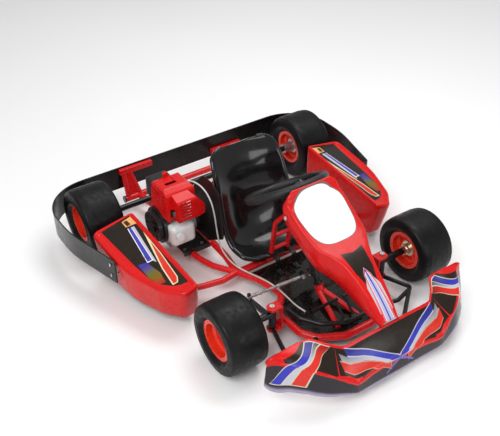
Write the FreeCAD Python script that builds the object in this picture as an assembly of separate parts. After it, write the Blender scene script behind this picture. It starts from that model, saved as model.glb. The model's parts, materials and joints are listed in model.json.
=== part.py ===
import FreeCAD, Part
import math
import os

# Mini racing kart, in millimetres.
# +X is forward, +Y is the driver's left, +Z is up. The origin is on the ground under the middle.

# ---- Overall -------------------------------------------------------------
FRONT_AXLE_X = 335.0
REAR_AXLE_X = -510.0
FRONT_TRACK = 824.0
REAR_TRACK = 1010.0
HALF_LENGTH = 713.0
BAND_REAR_X = -710.0
HALF_WIDTH = 655.0

# ---- Tyres and rims ------------------------------------------------------
FRONT_TYRE_R = 129.0
FRONT_TYRE_WIDTH = 148.0
REAR_TYRE_R = 138.0
REAR_TYRE_WIDTH = 158.0
RIM_LIP_R = 74.0
BEAD_SEAT_R = 63.5
RIM_WALL = 3.0
TYRE_WALL = 5.0
HUB_R = 21.0

# ---- Frame tubes ---------------------------------------------------------
FRAME_Z = 60.0
TUBE_R = 14.0
TUBE_WALL = 2.0
TUBE_BEND = 55.0
REAR_TUBE_X = -668.0
REAR_TUBE_HALF = 300.0
CROSSMEMBER_X = 16.0
TRAY_TOP = FRAME_Z - TUBE_R
TRAY_THICK = 3.0
TUBE_TOP = FRAME_Z + TUBE_R

# ---- Front axle and steering ---------------------------------------------
KINGPIN_Y = 245.0
KINGPIN_BOLT_R = 5.0
YOKE_LOW = 58.0
YOKE_HIGH = 158.0
YOKE_EAR = 8.0
YOKE_BACK_Y = 213.0
YOKE_PLATE = 6.0
BARREL_R = 13.0
STUB_R = 8.5
STEER_ARM = 125.0
TIE_ROD_Z = 106.0
RUNNING_FIT = 0.05
SIDE_GAP = 0.4
COLUMN_FOOT = (287.0, 0.0, 82.0)
WHEEL_CENTRE = (76.0, 0.0, 404.0)
COLUMN_R = 10.0
WHEEL_RADIUS = 142.0
WHEEL_GRIP_R = 15.5
PITMAN_RADIUS = 62.0
PITMAN_HALF = 15.0
PITMAN_PLATE = 5.0

# ---- Rear axle and drive -------------------------------------------------
AXLE_R = 12.5
AXLE_HALF = 498.0
CARRIER_Y = 226.0
SPROCKET_Y = -188.0
AXLE_TEETH = 60
CLUTCH_TEETH = 15
CHAIN_PITCH = 6.35
CLUTCH_X = -262.0
CLUTCH_Z = 150.0
OUTPUT_R = 7.0
DISC_Y = 172.0
DISC_R = 78.0

# ---- Pedals ---------------------------------------------------------------
PEDAL_PIVOT = (452.0, 66.0)
PEDAL_BAR = (396.0, 120.0)
PEDAL_ARM_Y = 20.0
PEDAL_BAR_END = 123.0


def vec(x, y, z):
    return FreeCAD.Vector(x, y, z)


def unit(vector):
    return FreeCAD.Vector(vector).normalize()


def rod(start, end, radius):
    """Solid round bar between two points."""
    first = vec(*start)
    span = vec(*end) - first
    return Part.makeCylinder(radius, span.Length, first, span)


def ring(start, end, radius, bore):
    """Round bar with a through bore."""
    return rod(start, end, radius).cut(rod(start, end, bore))


def block(low, high):
    """Box between two opposite corners."""
    size = [high[i] - low[i] for i in range(3)]
    return Part.makeBox(size[0], size[1], size[2], vec(*low))


def mirrored(shape):
    """The same shape on the other side of the kart."""
    return shape.mirror(vec(0, 0, 0), vec(0, 1, 0))


def pair(shape):
    """A left-hand shape together with its right-hand twin."""
    return Part.makeCompound([shape, mirrored(shape)])


def corner_arc(before, corner, after, radius):
    """Start, middle and end of the arc that rounds one corner."""
    back = unit(before - corner)
    ahead = unit(after - corner)
    half_turn = (math.pi - back.getAngle(ahead)) / 2
    reach = radius * math.tan(half_turn)
    inward = unit(back + ahead)
    centre = corner + inward * (radius / math.cos(half_turn))
    return corner + back * reach, centre - inward * radius, corner + ahead * reach


def bent_path(points, bend):
    """Straight runs joined by tangent arcs of radius bend."""
    corners = [vec(*point) for point in points]
    edges = []
    start = corners[0]
    for before, corner, after in zip(corners, corners[1:], corners[2:]):
        enter, middle, leave = corner_arc(before, corner, after, bend)
        edges.append(Part.LineSegment(start, enter).toShape())
        edges.append(Part.Arc(enter, middle, leave).toShape())
        start = leave
    edges.append(Part.LineSegment(start, corners[-1]).toShape())
    return Part.Wire(edges)


def swept(path, radius):
    """Round bar that follows a path."""
    first = path.Edges[0]
    start = first.valueAt(first.FirstParameter)
    heading = first.tangentAt(first.FirstParameter)
    circle = Part.Wire(Part.makeCircle(radius, start, heading))
    return path.makePipeShell([circle], True, False)


def bar(points, radius, bend):
    """Bent solid round bar."""
    return swept(bent_path(points, bend), radius)


def tube(points, radius, bend, wall):
    """Bent steel tube, open inside."""
    path = bent_path(points, bend)
    return swept(path, radius).cut(swept(path, radius - wall))


def outline(points, radii):
    """Closed outline; each corner is rounded by its own radius, or sharp where that is 0."""
    corners = [vec(*point) for point in points]
    stops = []
    for index, corner in enumerate(corners):
        before = corners[index - 1]
        after = corners[(index + 1) % len(corners)]
        if radii[index] > 0:
            stops.append(corner_arc(before, corner, after, radii[index]))
        else:
            stops.append((corner, None, corner))
    edges = []
    for index, (enter, middle, leave) in enumerate(stops):
        if middle is not None:
            edges.append(Part.Arc(enter, middle, leave).toShape())
        following = stops[(index + 1) % len(stops)][0]
        edges.append(Part.LineSegment(leave, following).toShape())
    return Part.Wire(edges)


def plate(points, radii, thickness):
    """Flat plate: an outline pushed along the thickness vector."""
    return Part.Face(outline(points, radii)).extrude(vec(*thickness))


def turned(points, radii, centre_x, centre_z):
    """Body of revolution about the lateral line through an axle centre.

    Each point is (lateral position, radius).
    """
    section = [(centre_x, across, centre_z + radius) for across, radius in points]
    face = Part.Face(outline(section, radii))
    return face.revolve(vec(centre_x, 0, centre_z), vec(0, 1, 0), 360)


def hexagon(centre, axis, across_flats, height):
    """Hexagonal bolt head or nut."""
    radius = across_flats / math.sqrt(3)
    corners = [vec(radius * math.cos(math.radians(60 * i)), radius * math.sin(math.radians(60 * i)), 0)
               for i in range(6)]
    head = Part.Face(Part.makePolygon(corners + corners[:1])).extrude(vec(0, 0, height))
    head.Placement = FreeCAD.Placement(vec(*centre), FreeCAD.Rotation(vec(0, 0, 1), vec(*axis)))
    return head


# ---- Frame -----------------------------------------------------------------

def rail_points(side):
    """Centre line of a main rail, rear to front."""
    plan = [(REAR_TUBE_X, 236), (-400, 205), (-255, 153), (-95, 160), (14, 178),
            (95, 136), (212, 112), (325, 228)]
    return [(x, side * y, FRAME_Z) for x, y in plan]


def rail_core(side):
    return bar(rail_points(side), TUBE_R, TUBE_BEND)


def main_rail(side):
    rail = tube(rail_points(side), TUBE_R, TUBE_BEND, TUBE_WALL)
    beyond_yoke = block((250, YOKE_BACK_Y, 0), (400, 300, 200))
    if side < 0:
        beyond_yoke = mirrored(beyond_yoke)
    return rail.cut(beyond_yoke).cut(rear_tube_core())


def rear_tube_core():
    return rod((REAR_TUBE_X, -REAR_TUBE_HALF, FRAME_Z), (REAR_TUBE_X, REAR_TUBE_HALF, FRAME_Z), TUBE_R)


def both_rails():
    return rail_core(1).fuse(rail_core(-1))


def front_loop_points():
    """Centre line of the tube round the front of the floor, left to right."""
    half = [(272, 183), (405, 180), (460, 146), (508, 58)]
    left = [(x, y, FRAME_Z) for x, y in half]
    return left + [(x, -y, z) for x, y, z in reversed(left)]


def front_loop():
    return tube(front_loop_points(), TUBE_R, TUBE_BEND, TUBE_WALL).cut(both_rails())


def straight_tube(start, end, radius):
    return ring(start, end, radius, radius - TUBE_WALL)


def crossmembers():
    """Tube under the seat's front, tube behind the seat, and the rear bumper tube."""
    seat_tube = straight_tube((CROSSMEMBER_X, -174, FRAME_Z), (CROSSMEMBER_X, 174, FRAME_Z), TUBE_R)
    back_tube = straight_tube((-405, -202, FRAME_Z), (-405, 202, FRAME_Z), TUBE_R)
    cross_tubes = []
    for cross_tube in (seat_tube, back_tube):
        trimmed = cross_tube.cut(rail_core(1)).cut(rail_core(-1))
        cross_tubes.append(max(trimmed.Solids, key=lambda solid: solid.Volume))
    bumper_tube = rear_tube_core().cut(
        rod((REAR_TUBE_X, -REAR_TUBE_HALF, FRAME_Z), (REAR_TUBE_X, REAR_TUBE_HALF, FRAME_Z),
            TUBE_R - TUBE_WALL))
    return Part.makeCompound(cross_tubes + [bumper_tube])


ENGINE_BAY = [(-352, -262), (-197, -256), (-135, -251), (-70, -232), (16, -178)]


def engine_bay_core():
    return bar([(x, y, FRAME_Z) for x, y in ENGINE_BAY], TUBE_R - 2, 40)


def side_bar_points(side):
    plan = [(14, 178), (24, 246), (10, 318), (-14, 404)]
    return [(x, side * y, FRAME_Z) for x, y in plan]


def outriggers():
    """Engine bay tube with its two cross stubs, and the bars that carry the side pods."""
    rails = both_rails()
    radius = TUBE_R - 2
    bay_points = [(x, y, FRAME_Z) for x, y in ENGINE_BAY]
    bay_tube = tube(bay_points, radius, 40, TUBE_WALL).cut(rails)
    stubs = []
    for x, rail_y in ((-335, -182), (-197, -156)):
        stub = straight_tube((x, -259, FRAME_Z), (x, rail_y, FRAME_Z), radius)
        stubs.append(stub.cut(rails).cut(engine_bay_core()))
    right_bar = tube(side_bar_points(-1), radius, 40, TUBE_WALL).cut(rails).cut(engine_bay_core())
    left_bar = tube(side_bar_points(1), radius, 40, TUBE_WALL).cut(rails)
    return Part.makeCompound([bay_tube] + stubs + [right_bar, left_bar])


def yoke_outline(height):
    half = 20
    return [(FRONT_AXLE_X - half, YOKE_BACK_Y, height), (FRONT_AXLE_X + half, YOKE_BACK_Y, height),
            (FRONT_AXLE_X + half, KINGPIN_Y + 18, height), (FRONT_AXLE_X - half, KINGPIN_Y + 18, height)]


def kingpin_yoke():
    """C-shaped bracket: a back plate and two ears bored for the kingpin."""
    body = plate(yoke_outline(YOKE_LOW), [0, 0, 17, 17], (0, 0, YOKE_HIGH - YOKE_LOW))
    mouth = block((FRONT_AXLE_X - 30, YOKE_BACK_Y + YOKE_PLATE, YOKE_LOW + YOKE_EAR),
                  (FRONT_AXLE_X + 30, KINGPIN_Y + 40, YOKE_HIGH - YOKE_EAR))
    bore = rod((FRONT_AXLE_X, KINGPIN_Y, 0), (FRONT_AXLE_X, KINGPIN_Y, 200), KINGPIN_BOLT_R)
    return body.cut(mouth).cut(bore)


def kingpin_bolt():
    """Bolt through the yoke with its head on top and its nut below."""
    shank = rod((FRONT_AXLE_X, KINGPIN_Y, YOKE_LOW - 9), (FRONT_AXLE_X, KINGPIN_Y, YOKE_HIGH), KINGPIN_BOLT_R)
    head = hexagon((FRONT_AXLE_X, KINGPIN_Y, YOKE_HIGH), (0, 0, 1), 17, 7)
    nut = hexagon((FRONT_AXLE_X, KINGPIN_Y, YOKE_LOW - 8), (0, 0, 1), 17, 8)
    return shank.fuse(head).fuse(nut)


TRAY_HALF = [(34, 158), (95, 134), (150, 118), (212, 110), (285, 182), (405, 178), (458, 145), (502, 60)]


def floor_tray():
    """Flat floor under the frame tubes."""
    low = TRAY_TOP - TRAY_THICK
    points = [(x, y, low) for x, y in TRAY_HALF] + [(x, -y, low) for x, y in reversed(TRAY_HALF)]
    radii = [6, 20, 20, 30, 30, 30, 30, 40]
    return plate(points, radii + radii[::-1], (0, 0, TRAY_THICK))


def heel_bar():
    """Thin bar round the front of the floor that stops the heels."""
    half = [(276, 168, 72), (312, 168, 92), (372, 160, 92), (442, 114, 92), (482, 42, 92)]
    points = half + [(x, -y, z) for x, y, z in reversed(half)]
    return bar(points, 8, 20).cut(both_rails())


def nose_bars():
    """Black bars ahead of the front axle that carry the nose fairing."""
    radius = 8
    loop = bar(front_loop_points(), TUBE_R, TUBE_BEND)
    side = bar([(350, 249, 63), (460, 283, 72), (484, 196, 72), (460, 146, 62)], radius, 16)
    barrel_room = rod((FRONT_AXLE_X, KINGPIN_Y, YOKE_LOW + YOKE_EAR), (FRONT_AXLE_X, KINGPIN_Y, 150), 18)
    side = side.cut(kingpin_yoke()).cut(barrel_room).cut(loop)
    half = [(470, 262, 72), (556, 158, 72), (604, 62, 72)]
    cross = bar(half + [(x, -y, z) for x, y, z in reversed(half)], radius, 30)
    cross = cross.cut(side).cut(mirrored(side))
    return Part.makeCompound([side, mirrored(side), cross])


# ---- Steering supports -------------------------------------------------------

def column_axis():
    """Unit vector up the steering column."""
    return unit(vec(*WHEEL_CENTRE) - vec(*COLUMN_FOOT))


def on_column(height):
    """Point of the column axis at a height above the ground."""
    axis = column_axis()
    return vec(*COLUMN_FOOT) + axis * ((height - COLUMN_FOOT[2]) / axis.z)


def column_sleeve(height, length, radius):
    """Bearing sleeve round the column, centred at a height."""
    half = column_axis() * (length / 2)
    centre = on_column(height)
    return ring(centre - half, centre + half, radius, COLUMN_R + RUNNING_FIT)


def column_bore(height):
    """Room for the column through a support."""
    half = column_axis() * 60
    centre = on_column(height)
    return rod(centre - half, centre + half, COLUMN_R + RUNNING_FIT)


def steering_v_support():
    """Lower column bearing on two legs that stand on the floor."""
    sleeve = column_sleeve(82, 34, 17)
    legs = [rod((288, side * 7, 80), (455, side * 50, TRAY_TOP + 4), 10) for side in (1, -1)]
    body = sleeve.fuse(legs[0]).fuse(legs[1]).cut(column_bore(82))
    return body.cut(floor_block())


def floor_block():
    return block((-100, -300, 0), (600, 300, TRAY_TOP))


PANEL_BOLT_X = 240.0
PANEL_BOLT_Z = 418.0
HOOP_FOOT = (36.0, 37.0, 106.0)
HOOP_KNEE = (62.0, 37.0, 258.0)
HOOP_TOP = (118.0, 22.0, 329.0)


def between(first, second, share):
    return tuple(a + (b - a) * share for a, b in zip(first, second))


def steering_hoop():
    """Ladder-shaped upright with rungs, carrying the upper column bearing and the panel arms."""
    radius = 9
    body = column_sleeve(334, 32, 18)
    for side in (1, -1):
        upright = [(x, side * y, z) for x, y, z in (HOOP_FOOT, HOOP_KNEE, HOOP_TOP)]
        body = body.fuse(bar(upright, radius, 26))
        body = body.fuse(rod((118, side * 20, 329), (PANEL_BOLT_X, side * 106, PANEL_BOLT_Z), 6))
    for share in (0.1, 0.55):
        left = between(HOOP_FOOT, HOOP_KNEE, share)
        right = (left[0], -left[1], left[2])
        body = body.fuse(rod(left, right, radius - 1))
    return body.cut(column_bore(334)).removeSplitter()


def floor_brackets():
    """Black feet of the steering hoop and the two pedal brackets."""
    parts = []
    top = HOOP_FOOT[2] - 2.5
    for side in (1, -1):
        y = side * HOOP_FOOT[1]
        profile = [(22, top), (84, top), (84, TRAY_TOP + 5), (112, TRAY_TOP + 5), (112, TRAY_TOP),
                   (78, TRAY_TOP), (78, top - 6), (22, top - 6)]
        points = [(x, y - 9, z) for x, z in profile]
        foot = plate(points, [0, 10, 4, 0, 0, 0, 4, 0], (0, 18, 0))
        parts.append(foot)
        parts.append(pedal_bracket(side))
    return Part.makeCompound(parts)


def pedal_bracket(side):
    """Two ears on a foot plate, bored for the pedal pin, with the pin fixed in them."""
    pivot_x, pivot_z = PEDAL_PIVOT
    centre = side * PEDAL_ARM_Y
    body = block((pivot_x - 16, centre - 13, TRAY_TOP), (pivot_x + 16, centre + 13, TRAY_TOP + 3))
    for edge in (-13, 10):
        ear = plate([(pivot_x - 9, centre + edge, TRAY_TOP), (pivot_x + 9, centre + edge, TRAY_TOP),
                     (pivot_x + 9, centre + edge, pivot_z + 9), (pivot_x - 9, centre + edge, pivot_z + 9)],
                    [0, 0, 8, 8], (0, 3, 0))
        body = body.fuse(ear)
    pin = rod((pivot_x, centre - 16, pivot_z), (pivot_x, centre + 16, pivot_z), 4)
    return body.fuse(pin)


# ---- Steering ------------------------------------------------------------------

def steering_shaft():
    """Column with a collar under the wheel hub and one above the lower bearing."""
    axis = column_axis()
    foot = on_column(66)
    top = vec(*WHEEL_CENTRE) - axis * 22
    shaft = rod(foot, top, COLUMN_R)
    collar_start = on_column(101)
    hub_start = top - axis * 26
    collar = rod(collar_start, collar_start + axis * 10, COLUMN_R + 6)
    hub = rod(hub_start, top, COLUMN_R + 8)
    flange = rod(top - axis * 5, top, 30)
    return shaft.fuse(collar).fuse(hub).fuse(flange)


def wheel_plane(radial, lateral, lift):
    """Point in the steering wheel's frame: radial is up the forward slope of its plane."""
    axis = column_axis()
    slope = vec(axis.z, 0, -axis.x)
    return vec(*WHEEL_CENTRE) + slope * radial + vec(0, lateral, 0) + axis * lift


def steering_wheel_grip():
    return Part.makeTorus(WHEEL_RADIUS, WHEEL_GRIP_R, vec(*WHEEL_CENTRE), column_axis())


def steering_wheel_plate():
    """Flat three-spoke plate, dished down to the hub flange."""
    axis = column_axis()
    low = -22.0
    thick = 4.0
    body = rod(wheel_plane(0, 0, low), wheel_plane(0, 0, low + thick), 42)
    for angle in (90, 210, 330):
        body = body.fuse(spoke(angle, low, thick))
    grip = steering_wheel_grip()
    return body.cut(grip).cut(rod(wheel_plane(0, 0, low - 1), wheel_plane(0, 0, low + 20), 8))


def spoke(angle, low, thick):
    """One spoke that rises from the hub plate into the grip."""
    bend_in = 42.0
    bend_out = 112.0
    half_width = 17.0
    outline_points = [(30, low), (bend_in, low), (bend_out, -5), (WHEEL_RADIUS - 4, -5),
                      (WHEEL_RADIUS - 4, -5 + thick), (bend_out, -5 + thick), (bend_in, low + thick),
                      (30, low + thick)]
    turn = math.radians(angle)
    along = (math.sin(turn), math.cos(turn))
    corners = []
    for reach, lift in outline_points:
        centre = wheel_plane(reach * along[0], reach * along[1], lift)
        across = wheel_plane(along[1], -along[0], 0) - vec(*WHEEL_CENTRE)
        corners.append(centre - across * half_width)
    across = wheel_plane(along[1], -along[0], 0) - vec(*WHEEL_CENTRE)
    face = Part.Face(Part.makePolygon(corners + corners[:1]))
    return face.extrude(across * (2 * half_width))


def steering_wheel_bolts():
    """Three hub bolts and one bolt at the end of each spoke."""
    bolts = []
    axis = column_axis()
    for angle in (30, 150, 270):
        turn = math.radians(angle)
        bolts.append(wheel_bolt(20 * math.sin(turn), 20 * math.cos(turn), -18))
    for angle in (90, 210, 330):
        turn = math.radians(angle)
        bolts.append(wheel_bolt(118 * math.sin(turn), 118 * math.cos(turn), -1))
    return Part.makeCompound(bolts)


def wheel_bolt(radial, lateral, lift):
    base = wheel_plane(radial, lateral, lift)
    return rod(base, base + column_axis() * 4, 5)


PITMAN_HEIGHT = 138.0


def pitman_point(radial, lateral, lift):
    """Point in the pitman arm's frame: radial is down the rearward slope from the column."""
    axis = column_axis()
    slope = vec(-axis.z, 0, axis.x)
    return on_column(PITMAN_HEIGHT) + slope * radial + vec(0, lateral, 0) + axis * lift


def pitman_arm():
    """Clamp round the column and the tapered plate that moves both tie rods."""
    half = PITMAN_PLATE / 2
    corners = [pitman_point(-16, 17, -half), pitman_point(PITMAN_RADIUS + 13, PITMAN_HALF + 13, -half),
               pitman_point(PITMAN_RADIUS + 13, -PITMAN_HALF - 13, -half), pitman_point(-16, -17, -half)]
    points = [(corner.x, corner.y, corner.z) for corner in corners]
    lift = column_axis() * PITMAN_PLATE
    body = plate(points, [14, 12, 12, 14], (lift.x, lift.y, lift.z))
    clamp = rod(pitman_point(0, 0, -11), pitman_point(0, 0, 11), 17)
    bore = rod(pitman_point(0, 0, -30), pitman_point(0, 0, 30), COLUMN_R)
    body = body.fuse(clamp).cut(bore)
    for lateral in (PITMAN_HALF, -PITMAN_HALF):
        head = rod(pitman_point(PITMAN_RADIUS, lateral, half), pitman_point(PITMAN_RADIUS, lateral, half + 6), 7)
        body = body.fuse(head)
    return body


def arm_end():
    """Outer tie rod pivot on the left steering arm."""
    return (FRONT_AXLE_X - STEER_ARM, KINGPIN_Y + 10, TIE_ROD_Z)


def spindle():
    """Left stub axle: kingpin barrel, axle stub with its nut, and the steering arm."""
    x = FRONT_AXLE_X
    barrel = rod((x, KINGPIN_Y, YOKE_LOW + YOKE_EAR + SIDE_GAP),
                 (x, KINGPIN_Y, YOKE_HIGH - YOKE_EAR - SIDE_GAP), BARREL_R)
    hub_in, hub_out = front_hub_span()
    shoulder = rod((x, KINGPIN_Y, FRONT_TYRE_R), (x, hub_in - SIDE_GAP, FRONT_TYRE_R), STUB_R + 4)
    stub = rod((x, KINGPIN_Y, FRONT_TYRE_R), (x, hub_out + 14, FRONT_TYRE_R), STUB_R)
    nut = hexagon((x, hub_out + SIDE_GAP, FRONT_TYRE_R), (0, 1, 0), 24, 10)
    end_x, end_y, end_z = arm_end()
    half = 4
    arm = plate([(x, KINGPIN_Y - 10, end_z - half), (x, KINGPIN_Y + 12, end_z - half),
                 (end_x - 9, end_y + 9, end_z - half), (end_x - 9, end_y - 9, end_z - half)],
                [0, 0, 8, 8], (0, 0, 2 * half))
    pin = rod((end_x, end_y, end_z - half), (end_x, end_y, end_z + 23), 4)
    cap = rod((end_x, end_y, end_z + 21), (end_x, end_y, end_z + 25), 7)
    body = barrel.fuse(shoulder).fuse(stub).fuse(nut).fuse(arm).fuse(pin).fuse(cap)
    return body.cut(rod((x, KINGPIN_Y, 0), (x, KINGPIN_Y, 200), KINGPIN_BOLT_R + RUNNING_FIT))


def tie_rod():
    """Left tie rod: eye on the steering arm pin, threaded rod, lock nuts, sleeve and inner eye."""
    end_x, end_y, end_z = arm_end()
    outer = vec(end_x, end_y, end_z + 12.5)
    below = -(PITMAN_PLATE / 2 + 11.5)
    inner = pitman_point(PITMAN_RADIUS, PITMAN_HALF, below)
    along = unit(inner - outer)
    eye = rod(outer - vec(0, 0, 7), outer + vec(0, 0, 7), 11)
    middle = outer + (inner - outer) * 0.52
    body = eye.fuse(rod(outer, middle, 5))
    body = body.fuse(rod(outer + along * 12, outer + along * 34, 7))
    body = body.fuse(rod(outer + along * 42, outer + along * 50, 8))
    body = body.fuse(rod(middle, inner - along * 14, 8))
    body = body.fuse(rod(inner - along * 20, inner, 6))
    axis = column_axis()
    body = body.fuse(rod(inner - axis * 7, inner + axis * 9, 9))
    return body.cut(rod(outer - vec(0, 0, 20), outer + vec(0, 0, 20), 4 + 3 * RUNNING_FIT))


# ---- Wheels ----------------------------------------------------------------------

def tyre(centre_y, centre_x, radius, width, rim_width):
    """Slick tyre: flat crown, tapered tread edges, rounded shoulders, bulged side walls."""
    half = width / 2
    bead = rim_width / 2 - RIM_WALL
    seat = BEAD_SEAT_R
    section_height = radius - seat
    outer = [(bead, seat), (bead, seat + 10), (half, seat + 0.42 * section_height),
             (half - 5, radius - 4), (half * 0.55, radius), (-half * 0.55, radius)]
    outer_radii = [0, 6, 16, 14, 0, 0]
    right = [(-half + 5, radius - 4), (-half, seat + 0.42 * section_height), (-bead, seat + 10), (-bead, seat)]
    right_radii = [14, 16, 6, 0]
    wall = TYRE_WALL
    inner = [(-bead + wall, seat), (-bead + wall, seat + 10 + wall),
             (-half + wall, seat + 0.42 * section_height), (-half + 5 + wall, radius - 4 - wall),
             (half - 5 - wall, radius - 4 - wall), (half - wall, seat + 0.42 * section_height),
             (bead - wall, seat + 10 + wall), (bead - wall, seat)]
    inner_radii = [0, 4, 12, 10, 10, 12, 4, 0]
    points = [(centre_y + across, height) for across, height in outer + right + inner]
    return turned(points, outer_radii + right_radii + inner_radii, centre_x, radius)


def rim(centre_y, centre_x, axle_z, width, web_at, web_reach):
    """One-piece rim: two lips, bead seats, drop centre and a coned web with a bored boss."""
    half = width / 2
    lip = RIM_LIP_R
    seat = BEAD_SEAT_R - 0.1
    drop = 56.0
    wall = RIM_WALL
    well = half - 26
    points = [(half, lip), (half - wall, lip), (half - wall, seat), (well, seat), (well - 8, drop),
              (-well + 8, drop), (-well, seat), (-half + wall, seat), (-half + wall, lip), (-half, lip),
              (-half, seat - wall), (-well - 2, seat - wall), (-well + 6, drop - wall),
              (web_at - wall / 2, drop - wall), (web_at - wall / 2 + web_reach, HUB_R + 8),
              (web_at - wall / 2 + web_reach, HUB_R), (web_at + wall / 2 + web_reach, HUB_R),
              (web_at + wall / 2 + web_reach, HUB_R + 8), (web_at + wall / 2, drop - wall),
              (well - 6, drop - wall), (well + 2, seat - wall), (half, seat - wall)]
    radii = [0] * len(points)
    return turned([(centre_y + across, height) for across, height in points], radii, centre_x, axle_z)


FRONT_RIM_WIDTH = 116.0
REAR_RIM_WIDTH = 126.0
FRONT_WEB = -21.0
REAR_WEB = -24.0
WEB_REACH = -8.0


def front_hub_span():
    """Lateral extent of the left front hub."""
    web = FRONT_TRACK / 2 + FRONT_WEB
    return web - 46, web + 26


def front_rim():
    centre = FRONT_TRACK / 2
    dish = rim(centre, FRONT_AXLE_X, FRONT_TYRE_R, FRONT_RIM_WIDTH, FRONT_WEB, WEB_REACH)
    return dish.fuse(rim_ribs(centre + FRONT_WEB + WEB_REACH, FRONT_AXLE_X, FRONT_TYRE_R))


def rim_ribs(web_y, axle_x, axle_z):
    """Four radial ribs that stiffen the outer side of a rim's web."""
    ribs = None
    for index in range(4):
        turn = math.radians(45 + 90 * index)
        inner = HUB_R + 6
        outer = 53.4
        corners = [(web_y, inner), (web_y + 18, inner), (web_y + 6, outer), (web_y - 10, outer)]
        points = [vec(axle_x + reach * math.cos(turn) + 3 * math.sin(turn), across,
                      axle_z + reach * math.sin(turn) - 3 * math.cos(turn)) for across, reach in corners]
        face = Part.Face(Part.makePolygon(points + points[:1]))
        rib = face.extrude(vec(-6 * math.sin(turn), 0, 6 * math.cos(turn)))
        ribs = rib if ribs is None else ribs.fuse(rib)
    return ribs


def front_hub():
    """Bearing hub: flange bolted to the web, stepped sleeve towards the kingpin, bored for the stub."""
    low, high = front_hub_span()
    web = FRONT_TRACK / 2 + FRONT_WEB + WEB_REACH
    points = [(low, STUB_R + RUNNING_FIT), (low, 15), (low + 14, 15), (low + 14, 19), (web - 8, 19),
              (web - 8, 30), (web - RIM_WALL / 2, 30), (web - RIM_WALL / 2, HUB_R),
              (web + 8, HUB_R), (web + 8, 18), (high, 18), (high, STUB_R + RUNNING_FIT)]
    body = turned(points, [0] * len(points), FRONT_AXLE_X, FRONT_TYRE_R)
    for index in range(4):
        turn = math.radians(90 * index)
        x = FRONT_AXLE_X + 25 * math.cos(turn)
        z = FRONT_TYRE_R + 25 * math.sin(turn)
        body = body.fuse(hexagon((x, web - 12, z), (0, 1, 0), 8, 4))
    return body


def rear_rims():
    centre = REAR_TRACK / 2
    dish = rim(centre, REAR_AXLE_X, REAR_TYRE_R, REAR_RIM_WIDTH, REAR_WEB, WEB_REACH)
    dish = dish.fuse(rim_ribs(centre + REAR_WEB + WEB_REACH, REAR_AXLE_X, REAR_TYRE_R))
    return pair(dish)


def rear_hubs():
    """Keyed hubs that clamp the axle, each with a flange and an outer nut."""
    web = REAR_TRACK / 2 + REAR_WEB + WEB_REACH
    points = [(web - 58, AXLE_R), (web - 58, 20), (web - 10, 20), (web - 10, 32), (web - RIM_WALL / 2, 32),
              (web - RIM_WALL / 2, HUB_R), (web + 6, HUB_R), (web + 6, AXLE_R)]
    hub = turned(points, [0] * len(points), REAR_AXLE_X, REAR_TYRE_R)
    for index in range(4):
        turn = math.radians(90 * index)
        x = REAR_AXLE_X + 26 * math.cos(turn)
        z = REAR_TYRE_R + 26 * math.sin(turn)
        hub = hub.fuse(hexagon((x, web - 14, z), (0, 1, 0), 8, 4))
    return pair(hub)


def rear_axle():
    """Solid live axle, stepped at both ends for its nuts."""
    shaft = rod((REAR_AXLE_X, -AXLE_HALF, REAR_TYRE_R), (REAR_AXLE_X, AXLE_HALF, REAR_TYRE_R), AXLE_R)
    for side in (1, -1):
        nut_y = side * (REAR_TRACK / 2 + REAR_WEB + WEB_REACH + 7)
        nut = hexagon((REAR_AXLE_X, nut_y, REAR_TYRE_R), (0, side, 0), 34, 11)
        shaft = shaft.fuse(nut)
    return shaft


def tooth_disc(teeth, pitch_radius, depth, centre_x, centre_z, y, thick):
    """Sprocket blank with straight-sided teeth, all the same."""
    root = pitch_radius - depth
    tip = pitch_radius - 0.6
    points = []
    for index in range(teeth):
        for share, radius in ((0.02, root), (0.3, tip), (0.45, tip), (0.73, root)):
            turn = 2 * math.pi * (index + share) / teeth
            points.append(vec(centre_x + radius * math.cos(turn), y, centre_z + radius * math.sin(turn)))
    face = Part.Face(Part.makePolygon(points + points[:1]))
    return face.extrude(vec(0, thick, 0))


def pitch_radius(teeth):
    return CHAIN_PITCH / (2 * math.sin(math.pi / teeth))


def axle_sprocket():
    """Driven sprocket with its clamping boss and lightening holes."""
    teeth_ring = tooth_disc(AXLE_TEETH, pitch_radius(AXLE_TEETH) - 3.2, 2.2, REAR_AXLE_X, REAR_TYRE_R,
                            SPROCKET_Y - 1.5, 3)
    boss = rod((REAR_AXLE_X, SPROCKET_Y - 8, REAR_TYRE_R), (REAR_AXLE_X, SPROCKET_Y + 8, REAR_TYRE_R), 24)
    body = teeth_ring.fuse(boss)
    for index in range(6):
        turn = math.radians(60 * index)
        x = REAR_AXLE_X + 38 * math.cos(turn)
        z = REAR_TYRE_R + 38 * math.sin(turn)
        body = body.cut(rod((x, SPROCKET_Y - 10, z), (x, SPROCKET_Y + 10, z), 8))
    return body.cut(rod((REAR_AXLE_X, -AXLE_HALF, REAR_TYRE_R), (REAR_AXLE_X, 0, REAR_TYRE_R), AXLE_R))


def clutch_sprocket():
    """Small driving sprocket on the engine's output shaft."""
    teeth_ring = tooth_disc(CLUTCH_TEETH, pitch_radius(CLUTCH_TEETH) - 3.2, 2.0, CLUTCH_X, CLUTCH_Z,
                            SPROCKET_Y - 1.5, 3)
    shaft = rod((CLUTCH_X, SPROCKET_Y - 26, CLUTCH_Z), (CLUTCH_X, SPROCKET_Y + 6, CLUTCH_Z), OUTPUT_R)
    return teeth_ring.fuse(shaft)


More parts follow.
